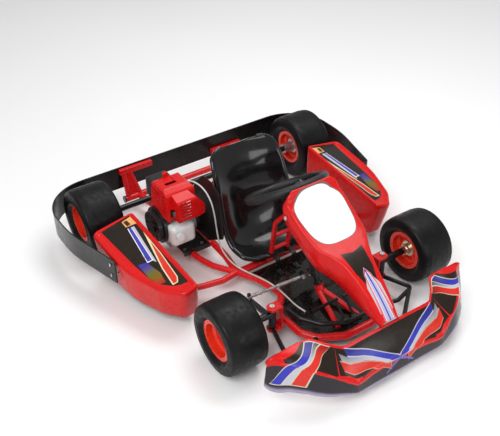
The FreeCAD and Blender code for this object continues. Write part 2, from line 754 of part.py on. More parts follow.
def brake_disc():
    """Ventilation-holed disc on its carrier."""
    body = rod((REAR_AXLE_X, DISC_Y - 2, REAR_TYRE_R), (REAR_AXLE_X, DISC_Y + 2, REAR_TYRE_R), DISC_R)
    body = body.fuse(rod((REAR_AXLE_X, DISC_Y - 2, REAR_TYRE_R), (REAR_AXLE_X, DISC_Y + 16, REAR_TYRE_R), 26))
    for index in range(12):
        turn = math.radians(30 * index)
        reach = 62 if index % 2 else 52
        x = REAR_AXLE_X + reach * math.cos(turn)
        z = REAR_TYRE_R + reach * math.sin(turn)
        body = body.cut(rod((x, DISC_Y - 5, z), (x, DISC_Y + 5, z), 4))
    return body.cut(rod((REAR_AXLE_X, 0, REAR_TYRE_R), (REAR_AXLE_X, AXLE_HALF, REAR_TYRE_R), AXLE_R))


def drive_chain():
    """Closed roller chain round both sprockets, as one band."""
    big = pitch_radius(AXLE_TEETH)
    small = pitch_radius(CLUTCH_TEETH)
    return chain_loop(big + 2.6, small + 2.6).cut(chain_loop(big - 2.6, small - 2.6))


def chain_loop(big, small):
    """Solid disc-and-tangent outline with the two sprockets' centres."""
    span_x = CLUTCH_X - REAR_AXLE_X
    span_z = CLUTCH_Z - REAR_TYRE_R
    span = math.hypot(span_x, span_z)
    lean = math.atan2(span_z, span_x)
    wrap = math.acos((big - small) / span)

    def around(centre_x, centre_z, radius, turn):
        return vec(centre_x + radius * math.cos(turn), SPROCKET_Y - 4, centre_z + radius * math.sin(turn))

    upper = lean + wrap
    lower = lean - wrap
    top_big = around(REAR_AXLE_X, REAR_TYRE_R, big, upper)
    far_big = around(REAR_AXLE_X, REAR_TYRE_R, big, lean + math.pi)
    low_big = around(REAR_AXLE_X, REAR_TYRE_R, big, lower)
    low_small = around(CLUTCH_X, CLUTCH_Z, small, lower)
    far_small = around(CLUTCH_X, CLUTCH_Z, small, lean)
    top_small = around(CLUTCH_X, CLUTCH_Z, small, upper)
    wire = Part.Wire([Part.Arc(top_big, far_big, low_big).toShape(),
                      Part.LineSegment(low_big, low_small).toShape(),
                      Part.Arc(low_small, far_small, top_small).toShape(),
                      Part.LineSegment(top_small, top_big).toShape()])
    return Part.Face(wire).extrude(vec(0, 8, 0))


def axle_bearing_carriers():
    """Plates that stand on the rails and hold the axle bearings."""
    foot = TUBE_TOP - 3
    plate_body = plate([(REAR_AXLE_X - 44, CARRIER_Y - 5, foot), (REAR_AXLE_X + 44, CARRIER_Y - 5, foot),
                        (REAR_AXLE_X + 38, CARRIER_Y - 5, REAR_TYRE_R + 38),
                        (REAR_AXLE_X - 38, CARRIER_Y - 5, REAR_TYRE_R + 38)], [4, 4, 30, 30], (0, 10, 0))
    housing = rod((REAR_AXLE_X, CARRIER_Y - 11, REAR_TYRE_R), (REAR_AXLE_X, CARRIER_Y + 11, REAR_TYRE_R), 30)
    bore = rod((REAR_AXLE_X, 0, REAR_TYRE_R), (REAR_AXLE_X, 300, REAR_TYRE_R), AXLE_R + RUNNING_FIT)
    carrier = plate_body.fuse(housing).cut(bore).cut(rail_core(1))
    return pair(carrier)


def brake_caliper():
    """Caliper astride the disc, on a lug from the left bearing carrier."""
    x = REAR_AXLE_X + 70
    z = REAR_TYRE_R + 10
    body = block((x - 24, DISC_Y - 22, z - 26), (x + 22, DISC_Y + 26, z + 30))
    slot = block((x - 40, DISC_Y - 2.6, z - 60), (x + 12, DISC_Y + 2.6, z + 60))
    lug = block((x - 18, DISC_Y + 20, z - 14), (x + 10, CARRIER_Y - 5, z + 12))
    arm = block((x - 38, CARRIER_Y - 11, z - 14), (x + 10, CARRIER_Y - 5, z + 12))
    cylinder = rod((x, DISC_Y - 34, z), (x, DISC_Y - 22, z), 15)
    return body.cut(slot).fuse(lug).fuse(arm).fuse(cylinder)


# ---- Pedals ------------------------------------------------------------------------

def pedal(side):
    """Sleeve on the pivot pin, upright arm and foot bar."""
    pivot_x, pivot_z = PEDAL_PIVOT
    bar_x, bar_z = PEDAL_BAR
    arm_y = side * PEDAL_ARM_Y
    sleeve = rod((pivot_x, arm_y - 9, pivot_z), (pivot_x, arm_y + 9, pivot_z), 8)
    arm = rod((pivot_x, arm_y, pivot_z), (bar_x, arm_y, bar_z), 5)
    foot_bar = rod((bar_x, side * (PEDAL_ARM_Y - 8), bar_z), (bar_x, side * PEDAL_BAR_END, bar_z), 6)
    body = sleeve.fuse(arm).fuse(foot_bar)
    return body.cut(rod((pivot_x, arm_y - 40, pivot_z), (pivot_x, arm_y + 40, pivot_z), 4 + RUNNING_FIT))


# ---- Seat ----------------------------------------------------------------------------

SEAT_WALL = 5.0
# Centre line of the seat's surface, from the top of the back to the front lip:
# (x, z, half width, how far the sides rise)
SEAT_LINE = [(-238, 462, 130, 8), (-196, 392, 140, 24), (-162, 290, 148, 30), (-136, 190, 156, 38),
             (-98, 118, 157, 46), (-45, 86, 154, 42), (12, 82, 142, 32), (58, 91, 104, 10)]


def seat():
    """Moulded bucket: one shell lofted through dished cross-sections."""
    sections = []
    last = len(SEAT_LINE) - 1
    for index, (x, z, half, rise) in enumerate(SEAT_LINE):
        before = SEAT_LINE[max(index - 1, 0)]
        after = SEAT_LINE[min(index + 1, last)]
        heading = unit(vec(after[0] - before[0], 0, after[1] - before[1]))
        inward = vec(-heading.z, 0, heading.x)
        sections.append(seat_section(vec(x, 0, z), inward, half, rise))
    return Part.makeLoft(sections, True, False)


def seat_section(centre, inward, half, rise):
    """Closed strip across the seat: the dished inner curve and the same curve one wall behind."""
    shares = [-1, -0.82, -0.5, 0, 0.5, 0.82, 1]
    inner = []
    outer = []
    for share in shares:
        point = centre + vec(0, half * share, 0) + inward * (rise * abs(share) ** 2.5)
        inner.append(point)
        slope = 2.5 * rise * abs(share) ** 1.5 / half
        shrink = SEAT_WALL / math.sqrt(1 + slope * slope)
        side = math.copysign(slope * shrink, share) if share else 0
        outer.append(point - inward * shrink + vec(0, side, 0))
    inner_curve = Part.BSplineCurve()
    inner_curve.interpolate(inner)
    outer_curve = Part.BSplineCurve()
    outer_curve.interpolate(outer[::-1])
    return Part.Wire([inner_curve.toShape(), Part.LineSegment(inner[-1], outer[-1]).toShape(),
                      outer_curve.toShape(), Part.LineSegment(outer[0], inner[0]).toShape()])


def seat_stays():
    """Struts from the rails to the seat back and pads under the seat's front."""
    back_strut = rod((-330, 172, TUBE_TOP - 8), (-214, 120, 330), 7)
    pad = block((CROSSMEMBER_X - 14, 40, TUBE_TOP - 3), (CROSSMEMBER_X + 14, 76, TUBE_TOP + 12))
    stay = back_strut.cut(rail_core(1)).cut(seat())
    foot = pad.cut(rod((CROSSMEMBER_X, -178, FRAME_Z), (CROSSMEMBER_X, 178, FRAME_Z), TUBE_R)).cut(seat())
    foot = max(foot.Solids, key=lambda solid: solid.Volume)
    stay = max(stay.Solids, key=lambda solid: solid.Volume)
    return Part.makeCompound([stay, mirrored(stay), foot, mirrored(foot)])


# ---- Bodywork --------------------------------------------------------------------------

POD_WALL = 4.0
POD_TOP = [(-345, 588), (-100, 578), (62, 522), (136, 462), (127, 405), (-342, 416)]
POD_LOW = [(-330, 570), (-100, 560), (38, 506), (104, 452), (97, 396), (-328, 403)]
POD_RADII = [22, 400, 120, 36, 14, 14]
POD_BASE_Z = 44.0


def pod_top_z(x, y):
    """The top face falls towards the nose and towards the outside."""
    return 192 - 0.094 * (x - 125) - 0.195 * (y - 413)


def pod_body(inset, floor_z, drop):
    """Tapered solid between the lower and the upper outline, pulled in by inset."""
    centre_x = -105.0
    centre_y = 490.0

    def pulled(plan, height):
        points = []
        for x, y in plan:
            pulled_x = x - math.copysign(inset, x - centre_x)
            pulled_y = y - math.copysign(inset, y - centre_y)
            points.append((pulled_x, pulled_y, height(pulled_x, pulled_y)))
        return outline(points, [max(radius - inset, 8) for radius in POD_RADII])

    low = pulled(POD_LOW, lambda x, y: floor_z)
    high = pulled(POD_TOP, lambda x, y: pod_top_z(x, y) - drop)
    return Part.makeLoft([low, high], True, True)


def side_pod():
    """Left pod: a moulded cover, open underneath."""
    return pod_body(0, POD_BASE_Z, 0).cut(pod_body(POD_WALL, POD_BASE_Z - 1, POD_WALL))


BAND_LOW = 96.0
BAND_HIGH = 196.0
BAND_WALL = 5.0
BAND_CORNER = 190.0
LEFT_ARM_Z = 124.0
RIGHT_ARM_Z = 178.0


def rear_bumper_band():
    """Thin band that wraps both rear wheels and the tail."""
    corner_x = BAND_REAR_X
    outer = [(-148, 591), (-400, HALF_WIDTH), (corner_x, HALF_WIDTH)]
    inner = [(-147, 591 - BAND_WALL), (-400, HALF_WIDTH - BAND_WALL),
             (corner_x + BAND_WALL, HALF_WIDTH - BAND_WALL)]
    outer_radii = [0, 500, BAND_CORNER]
    inner_radii = [0, 500, BAND_CORNER - BAND_WALL]
    plan = outer + [(x, -y) for x, y in reversed(outer)] + [(x, -y) for x, y in inner] + inner[::-1]
    radii = outer_radii + outer_radii[::-1] + inner_radii + inner_radii[::-1]
    points = [(x, y, BAND_LOW) for x, y in plan]
    return plate(points, radii, (0, 0, BAND_HIGH - BAND_LOW))


def bumper_bracket(arm_z):
    """Left posts on the rear tube that carry an arm along the band."""
    x = REAR_TUBE_X
    band_face = BAND_REAR_X + BAND_WALL
    outer_post = rod((x, 284, FRAME_Z + 8), (band_face + 12, 284, arm_z), 11)
    inner_post = rod((x, 228, FRAME_Z + 8), (band_face + 12, 256, arm_z), 9)
    gusset = plate([(x - 3, 228, TUBE_TOP - 4), (x - 3, 284, TUBE_TOP - 4), (band_face + 9, 284, arm_z),
                    (band_face + 9, 256, arm_z)], [0, 0, 0, 0], (4, 0, 1))
    arm = block((band_face, 150, arm_z - 10), (band_face + 20, 300, arm_z + 12))
    body = outer_post.fuse(inner_post).fuse(gusset).fuse(arm)
    body = body.cut(rear_tube_core()).cut(rail_core(1))
    return body.cut(block((-900, 0, 0), (band_face, 700, 400)))


def bumper_brackets():
    """The engine side's bracket reaches the top of the band, the other one its middle."""
    return Part.makeCompound([bumper_bracket(LEFT_ARM_Z), mirrored(bumper_bracket(RIGHT_ARM_Z))])


def tube_end_caps():
    """Plastic caps on the open ends of the rear tube and of the engine bay tube."""
    caps = []
    for side in (1, -1):
        caps.append(rod((REAR_TUBE_X, side * REAR_TUBE_HALF, FRAME_Z),
                        (REAR_TUBE_X, side * (REAR_TUBE_HALF + 6), FRAME_Z), TUBE_R + 1))
    bay_end = vec(ENGINE_BAY[0][0], ENGINE_BAY[0][1], FRAME_Z)
    bay_next = vec(ENGINE_BAY[1][0], ENGINE_BAY[1][1], FRAME_Z)
    outward = unit(bay_end - bay_next) * 5
    caps.append(rod(bay_end, bay_end + outward, TUBE_R - 1))
    return Part.makeCompound(caps)


# Nose fairing stations: (y, upper rear edge x, z, crest x, z, lower edge x, z)
NOSE_STATIONS = [(0, 633, 188, 702, 97, HALF_LENGTH, 33), (110, 632, 187, 694, 93, 705, 31),
                 (186, 630, 185, 676, 88, 696, 29), (228, 592, 192, 662, 86, 687, 28),
                 (268, 546, 200, 645, 88, 660, 32), (340, 546, 198, 606, 93, 618, 42),
                 (404, 546, 193, 563, 98, 574, 54), (432, 541, 160, 546, 104, 552, 64)]
NOSE_WALL = 4.0


def nose_section(y, station):
    """Closed strip of the fairing's wall at one lateral position."""
    edge_x, edge_z, crest_x, crest_z, low_x, low_z = station
    bulge_x = edge_x + (crest_x - edge_x) * 0.5 + 5
    bulge_z = edge_z + (crest_z - edge_z) * 0.5 + 7
    outer = [(edge_x, edge_z), (bulge_x, bulge_z), (crest_x, crest_z), (low_x, low_z)]
    inner = [(low_x - NOSE_WALL, low_z), (crest_x - NOSE_WALL, crest_z - 3),
             (bulge_x - 3, bulge_z - NOSE_WALL), (edge_x, edge_z - NOSE_WALL - 2)]
    points = [vec(x, y, z) for x, z in outer + inner]
    return Part.makePolygon(points + points[:1])


def nose_fairing():
    """Wide moulded fairing: raised ends, low middle, open behind and below."""
    left = [(station[0], station[1:]) for station in NOSE_STATIONS]
    right = [(-y, rest) for y, rest in reversed(left[1:])]
    return Part.makeLoft([nose_section(y, rest) for y, rest in right + left], True, True)


# Number panel stations: (x, top z, half width of the top, how far the flanks flare and drop)
PANEL_STATIONS = [(214, 497, 80, 38, 46), (228, 461, 107, 13, 46), (260, 440, 111, 13, 54),
                  (303, 413, 110, 12, 54), (350, 388, 107, 12, 60), (392, 369, 99, 12, 68),
                  (427, 360, 79, 12, 76), (476, 337, 58, 12, 78), (517, 312, 49, 12, 74),
                  (562, 281, 43, 12, 60), (607, 244, 37, 9, 40), (645, 206, 31, 6, 20)]
PANEL_WALL = 4.0


def panel_section(x, top, half, flare, drop, steepness):
    """Closed strip of the panel's wall across one station."""
    wall = PANEL_WALL
    depth = wall * math.hypot(1, steepness)
    outer = [(half + flare, top - drop), (half, top), (-half, top), (-half - flare, top - drop)]
    inner = [(-half - flare + wall, top - drop), (-half + wall, top - depth),
             (half - wall, top - depth), (half + flare - wall, top - drop)]
    points = [vec(x, y, z) for y, z in outer + inner]
    return Part.makePolygon(points + points[:1])


def number_panel():
    """Shield-shaped panel in front of the wheel, with a raised rear rim, that runs down to the nose."""
    sections = []
    last = len(PANEL_STATIONS) - 1
    for index, station in enumerate(PANEL_STATIONS):
        before = PANEL_STATIONS[max(index - 1, 0)]
        after = PANEL_STATIONS[min(index + 1, last)]
        steepness = (before[1] - after[1]) / (after[0] - before[0])
        sections.append(panel_section(*station, steepness))
    return Part.makeLoft(sections, True, True).cut(nose_fairing())


def button_bolt(base, direction, length):
    """Round-headed bolt; base is under its head and direction points out of the head."""
    start = vec(*base)
    out = unit(vec(*direction))
    return rod(start - out * length, start, 3).fuse(rod(start, start + out * 3, 7))


def bodywork_bolts():
    """Bolts of the band, the panel, the nose, the seat and the engine plate."""
    bolts = []
    for side in (1, -1):
        for z in (122, 170):
            bolts.append(button_bolt((-172, side * 597.5, z), (-0.22, side, 0), 34))
        for y in (180, 270):
            arm_z = LEFT_ARM_Z if side > 0 else RIGHT_ARM_Z
            bolts.append(button_bolt((BAND_REAR_X, side * y, arm_z), (-1, 0, 0), 18))
        bolts.append(button_bolt((PANEL_BOLT_X, side * 121, PANEL_BOLT_Z), (0, side, 0.3), 16))
        bolts.append(button_bolt((-216, side * 96, 402), (1, 0, 0.45), 12))
    for y in (-281, -204):
        bolts.append(button_bolt((-197, y, TUBE_TOP + 4), (0, 0, 1), 8))
    return Part.makeCompound(bolts)


# ---- Engine ------------------------------------------------------------------------------

PLATE_BASE = TUBE_TOP - 2.0
PLATE_TOP = PLATE_BASE + 6.0
SHROUD_TOP = 368.0
SHROUD_LOW = 236.0
SHROUD_WALL = 4.0
ENGINE_OUT_Y = -360.0
ENGINE_DEPTH = 200.0
RECOIL_X = -278.0
RECOIL_Z = 178.0
RECOIL_R = 73.0
TANK_LOW = (-234, -338, 120)
TANK_HIGH = (-174, -234, 210)


def engine_plate():
    """Mounting plate on the bay tubes and the steel angle along its front edge."""
    base = block((-345, -292, PLATE_BASE), (-184, -180, PLATE_TOP))
    angle = block((-184, -292, PLATE_BASE - 10), (-176, -180, PLATE_TOP + 6))
    body = base.fuse(angle).cut(rail_core(-1))
    return body.cut(engine_bay_core())


def rounded_block(low, high, radius):
    body = block(low, high)
    return body.makeFillet(radius, body.Edges)


def crankcase():
    """Crankcase, cylinder and the boss that carries the output shaft."""
    body = rounded_block((-338, -322, PLATE_TOP), (-262, -216, 214), 8)
    low_case = rounded_block((-300, -322, PLATE_TOP), (-236, -216, 190), 8)
    cylinder = rod((-268, -272, 200), (-268, -272, 238), 36)
    boss = rod((CLUTCH_X, -230, CLUTCH_Z), (CLUTCH_X, -203, CLUTCH_Z), 34)
    body = body.fuse(low_case).fuse(cylinder).fuse(boss)
    return body.cut(rod((CLUTCH_X, -216, CLUTCH_Z), (CLUTCH_X, -190, CLUTCH_Z), OUTPUT_R + RUNNING_FIT))


def crossed(side_points, side_radii, end_points, end_radii):
    """Solid with one rounded outline (x, z) seen from the side and one (y, z) seen from the end."""
    side = plate([(x, ENGINE_OUT_Y, z) for x, z in side_points], side_radii, (0, ENGINE_DEPTH, 0))
    end = plate([(-400, y, z) for y, z in end_points], end_radii, (400, 0, 0))
    return side.common(end)


def shroud_form(inset, low):
    """Tall rear part and sloping front part of the shroud, each wall moved inwards."""
    top = SHROUD_TOP - inset
    tall = crossed([(-326 + inset, low), (-300 + inset, top - 4), (-216, top), (-190 - inset, top - 18),
                    (-190 - inset, low)], [6, 14, 16, 16, 4],
                   [(-342 + inset, low), (-342 + inset, top), (-224 - inset, top), (-224 - inset, low)],
                   [3, 12, 22, 3])
    front = crossed([(-262, low + 7), (-262, top - 8), (-222, top - 8), (-150 - inset, top - 36),
                     (-150 - inset, low + 7)], [3, 3, 20, 14, 8],
                    [(-318 + inset, low + 7), (-318 + inset, top - 6), (-264, top - 6), (-206 - inset, top - 72),
                     (-206 - inset, low + 20), (-234, low + 7)], [5, 10, 50, 24, 8, 8])
    return tall.fuse(front)


def engine_shroud():
    """Moulded cooling shroud: louvres, a dark inlet, a recess on top and a round cut for the starter."""
    body = shroud_form(0, SHROUD_LOW).fuse(rod((-298, -284, SHROUD_TOP - 8), (-298, -284, SHROUD_TOP + 10), 11))
    body = body.cut(shroud_form(SHROUD_WALL, SHROUD_LOW - 20))
    body = body.cut(block((-294, -316, SHROUD_TOP - 6), (-234, -270, SHROUD_TOP + 20)))
    body = body.cut(rod((RECOIL_X, -400, RECOIL_Z), (RECOIL_X, -310, RECOIL_Z), RECOIL_R + 2))
    body = body.cut(block((-214, -330, 250), (-172, -310, 288)))
    for index in range(6):
        body = body.cut(block((-160, -306, 258 + 13 * index), (-140, -262, 263 + 13 * index)))
        body = body.cut(block((-226, -350, 256 + 15 * index), (-204, -330, 263 + 15 * index)))
    for z in (318, 334):
        body = body.cut(block((-288, -350, z), (-240, -330, z + 6)))
    return body


def fuel_tank():
    """Translucent tank under the shroud's front, with its screw cap."""
    tank = rounded_block(TANK_LOW, TANK_HIGH, 20)
    tank = tank.cut(block((-300, -322.5, 80), (-235.5, -215.5, 190.5)))
    front = TANK_HIGH[0]
    neck = rod((front - 4, -312, 176), (front + 8, -312, 176), 10)
    cap = rod((front + 8, -312, 176), (front + 20, -312, 176), 16)
    return Part.makeCompound([tank.fuse(neck), cap])


def recoil_housing():
    """Round pull-starter cover on the engine's outer side."""
    back = rod((RECOIL_X, -322, RECOIL_Z), (RECOIL_X, -350, RECOIL_Z), RECOIL_R)
    dome = rod((RECOIL_X, -350, RECOIL_Z), (RECOIL_X, -368, RECOIL_Z), RECOIL_R - 12)
    hub = rod((RECOIL_X, -368, RECOIL_Z), (RECOIL_X, -374, RECOIL_Z), 22)
    body = back.fuse(dome).fuse(hub)
    for index in range(8):
        turn = math.radians(45 * index)
        x = RECOIL_X + 42 * math.cos(turn)
        z = RECOIL_Z + 42 * math.sin(turn)
        body = body.cut(rod((x, -380, z), (x, -356, z), 6))
    return body.cut(block(TANK_LOW, TANK_HIGH))


def air_cleaner():
    """Air cleaner box behind the shroud, with the carburettor below it."""
    box = rounded_block((-390, -328, 252), (-326.5, -236, 332), 12)
    carburettor = rounded_block((-384, -306, 222), (-339, -256, 252), 6)
    return box.fuse(carburettor)


def muffler():
    """Exhaust box behind the crankcase with its tail pipe."""
    box = rounded_block((-392, -318, 120), (-356, -226, 218), 12)
    pipe = rod((-374, -318, 148), (-374, -338, 148), 8)
    outlet = rod((-356, -272, 160), (-339, -272, 160), 14)
    return box.fuse(pipe).fuse(outlet)


def heat_shield():
    """Tall plate between the engine and the seat that also covers the chain's inner side."""
    profile = [(-300, PLATE_TOP), (-200, PLATE_TOP), (-84, 150), (-78, 190), (-92, 330), (-136, 372),
               (-215, 372), (-300, 270)]
    points = [(x, -174, z) for x, z in profile]
    return plate(points, [10, 30, 24, 60, 50, 20, 30, 20], (0, 3, 0)).cut(rail_core(-1))


# ---- Cables ---------------------------------------------------------------------------------

CABLE_R = 3.0
THROTTLE_ROUTE = [(-244, -225, 350), (-212, -212, 358), (-176, -203, 354), (-144, -198, 338),
                  (-118, -194, 305), (-110, -190, 256), (-108, -186, 198), (-104, -183, 148),
                  (-88, -181, 108), (-50, -179, 87), (-4, -176, 81), (48, -163, 80), (98, -143, 80),
                  (150, -127, 80),
                  (204, -120, 80), (256, -122, 82), (306, -124, 83), (350, -114, 80)]
BRAKE_ROUTE = [(350, 114, 80), (306, 124, 83), (256, 122, 82), (204, 120, 80), (150, 127, 80), (98, 143, 80),
               (48, 163, 80), (-6, 173, 81), (-66, 168, 82), (-130, 163, 82), (-196, 156, 82),
               (-256, 150, 84), (-312, 149, 91), (-358, 153, 106), (-394, 160, 128), (-418, 168, 150)]


def cable(route, name):
    """Cable sheath: straight runs joined by the widest arcs they leave room for."""
    corners = [vec(*point) for point in route]
    edges = []
    radii = []
    start = corners[0]
    for before, corner, after in zip(corners, corners[1:], corners[2:]):
        back = unit(before - corner)
        ahead = unit(after - corner)
        half_turn = (math.pi - back.getAngle(ahead)) / 2
        shorter = min((before - corner).Length, (after - corner).Length)
        radius = 0.45 * shorter / math.tan(half_turn)
        radii.append(radius)
        enter, middle, leave = corner_arc(before, corner, after, radius)
        edges.append(Part.LineSegment(start, enter).toShape())
        edges.append(Part.Arc(enter, middle, leave).toShape())
        start = leave
    edges.append(Part.LineSegment(start, corners[-1]).toShape())
    path = Part.Wire(edges)
    body = swept(path, CABLE_R)
    print(name, "radii", [round(radius) for radius in radii], "length", round(path.Length),
          "volume share", round(body.Volume / (math.pi * CABLE_R ** 2 * path.Length), 4))
    return body


# ---- All pieces --------------------------------------------------------------------------------

def side_bars_trimmed(shape):
    """Cut the outrigger tubes where they meet the pods' inner walls."""
    pods = pod_body(0, POD_BASE_Z, 0)
    return shape.cut(pods).cut(mirrored(pods))


def build():
    left_spindle = spindle()
    left_tie_rod = tie_rod()
    front_tyre = tyre(FRONT_TRACK / 2, FRONT_AXLE_X, FRONT_TYRE_R, FRONT_TYRE_WIDTH, FRONT_RIM_WIDTH)
    rear_tyre = tyre(REAR_TRACK / 2, REAR_AXLE_X, REAR_TYRE_R, REAR_TYRE_WIDTH, REAR_RIM_WIDTH)
    front_wheel_rim = front_rim()
    front_wheel_hub = front_hub()
    left_pod = side_pod()
    return {
        "left_main_rail": main_rail(1),
        "right_main_rail": main_rail(-1),
        "front_loop": front_loop(),
        "crossmembers": crossmembers(),
        "outriggers": side_bars_trimmed(outriggers()),
        "kingpin_yokes": pair(kingpin_yoke()),
        "kingpin_bolts": pair(kingpin_bolt()),
        "steering_v_support": steering_v_support(),
        "steering_hoop": steering_hoop(),
        "floor_brackets": floor_brackets(),
        "floor_tray": floor_tray(),
        "heel_bar": heel_bar(),
        "nose_bars": nose_bars(),
        "nose_fairing": nose_fairing(),
        "number_panel": number_panel(),
        "left_side_pod": left_pod,
        "right_side_pod": mirrored(left_pod),
        "rear_bumper_band": rear_bumper_band(),
        "bumper_brackets": bumper_brackets(),
        "tube_end_caps": tube_end_caps(),
        "bodywork_bolts": bodywork_bolts(),
        "seat": seat(),
        "seat_stays": seat_stays(),
        "engine_plate": engine_plate(),
        "crankcase": crankcase(),
        "engine_shroud": engine_shroud(),
        "fuel_tank": fuel_tank(),
        "recoil_housing": recoil_housing(),
        "air_cleaner": air_cleaner(),
        "muffler": muffler(),
        "heat_shield": heat_shield(),
        "drive_chain": drive_chain(),
        "axle_bearing_carriers": axle_bearing_carriers(),
        "brake_caliper": brake_caliper(),
        "throttle_cable": cable(THROTTLE_ROUTE, "throttle cable"),
        "brake_cable": cable(BRAKE_ROUTE, "brake cable"),
        "steering_shaft": steering_shaft(),
        "steering_wheel_grip": steering_wheel_grip(),
        "steering_wheel_plate": steering_wheel_plate(),
        "steering_wheel_bolts": steering_wheel_bolts(),
        "pitman_arm": pitman_arm(),
        "left_spindle": left_spindle,
        "right_spindle": mirrored(left_spindle),
        "left_tie_rod": left_tie_rod,
        "right_tie_rod": mirrored(left_tie_rod),
        "front_left_tyre": front_tyre,
        "front_right_tyre": mirrored(front_tyre),
        "front_left_rim": front_wheel_rim,
        "front_right_rim": mirrored(front_wheel_rim),
        "front_left_hub": front_wheel_hub,
        "front_right_hub": mirrored(front_wheel_hub),
        "rear_axle": rear_axle(),
        "rear_tyres": pair(rear_tyre),
        "rear_rims": rear_rims(),
        "rear_hubs": rear_hubs(),
        "axle_sprocket": axle_sprocket(),
        "brake_disc": brake_disc(),
        "clutch_sprocket": clutch_sprocket(),
        "throttle_pedal": pedal(-1),
        "brake_pedal": pedal(1),
    }


os.makedirs("parts", exist_ok=True)
for node, shape in build().items():
    if not shape.isValid() or not shape.Solids:
        print("check", node, "valid", shape.isValid(), "solids", len(shape.Solids))
    shape.exportStep("parts/" + node + ".step")
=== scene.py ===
import bpy
import json
import math
from mathutils import Matrix, Vector


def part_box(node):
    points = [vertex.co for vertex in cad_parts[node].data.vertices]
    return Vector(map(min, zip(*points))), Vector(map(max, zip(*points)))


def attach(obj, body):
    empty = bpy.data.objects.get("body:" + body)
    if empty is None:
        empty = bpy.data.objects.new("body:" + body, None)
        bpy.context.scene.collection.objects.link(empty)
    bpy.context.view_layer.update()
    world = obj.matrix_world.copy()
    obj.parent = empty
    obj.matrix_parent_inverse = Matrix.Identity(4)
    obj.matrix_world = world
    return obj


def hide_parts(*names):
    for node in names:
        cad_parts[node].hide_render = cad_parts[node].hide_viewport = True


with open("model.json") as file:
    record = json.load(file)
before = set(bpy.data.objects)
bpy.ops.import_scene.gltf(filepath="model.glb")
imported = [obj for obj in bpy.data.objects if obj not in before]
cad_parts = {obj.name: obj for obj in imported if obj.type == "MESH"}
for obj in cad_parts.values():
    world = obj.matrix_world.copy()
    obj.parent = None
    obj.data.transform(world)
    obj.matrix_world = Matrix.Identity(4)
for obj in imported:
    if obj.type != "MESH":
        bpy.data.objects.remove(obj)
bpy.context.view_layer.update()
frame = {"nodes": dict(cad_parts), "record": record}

MM = 0.001
SLOT_OF_NODE = {part["node"]: part["material_slot"] for part in frame["record"]["subparts"]}


def kart(x, y, z):
    """A point given in millimetres in the kart's frame."""
    return Vector((x * MM, y * MM, z * MM))


# ---- Node materials ---------------------------------------------------------------------------

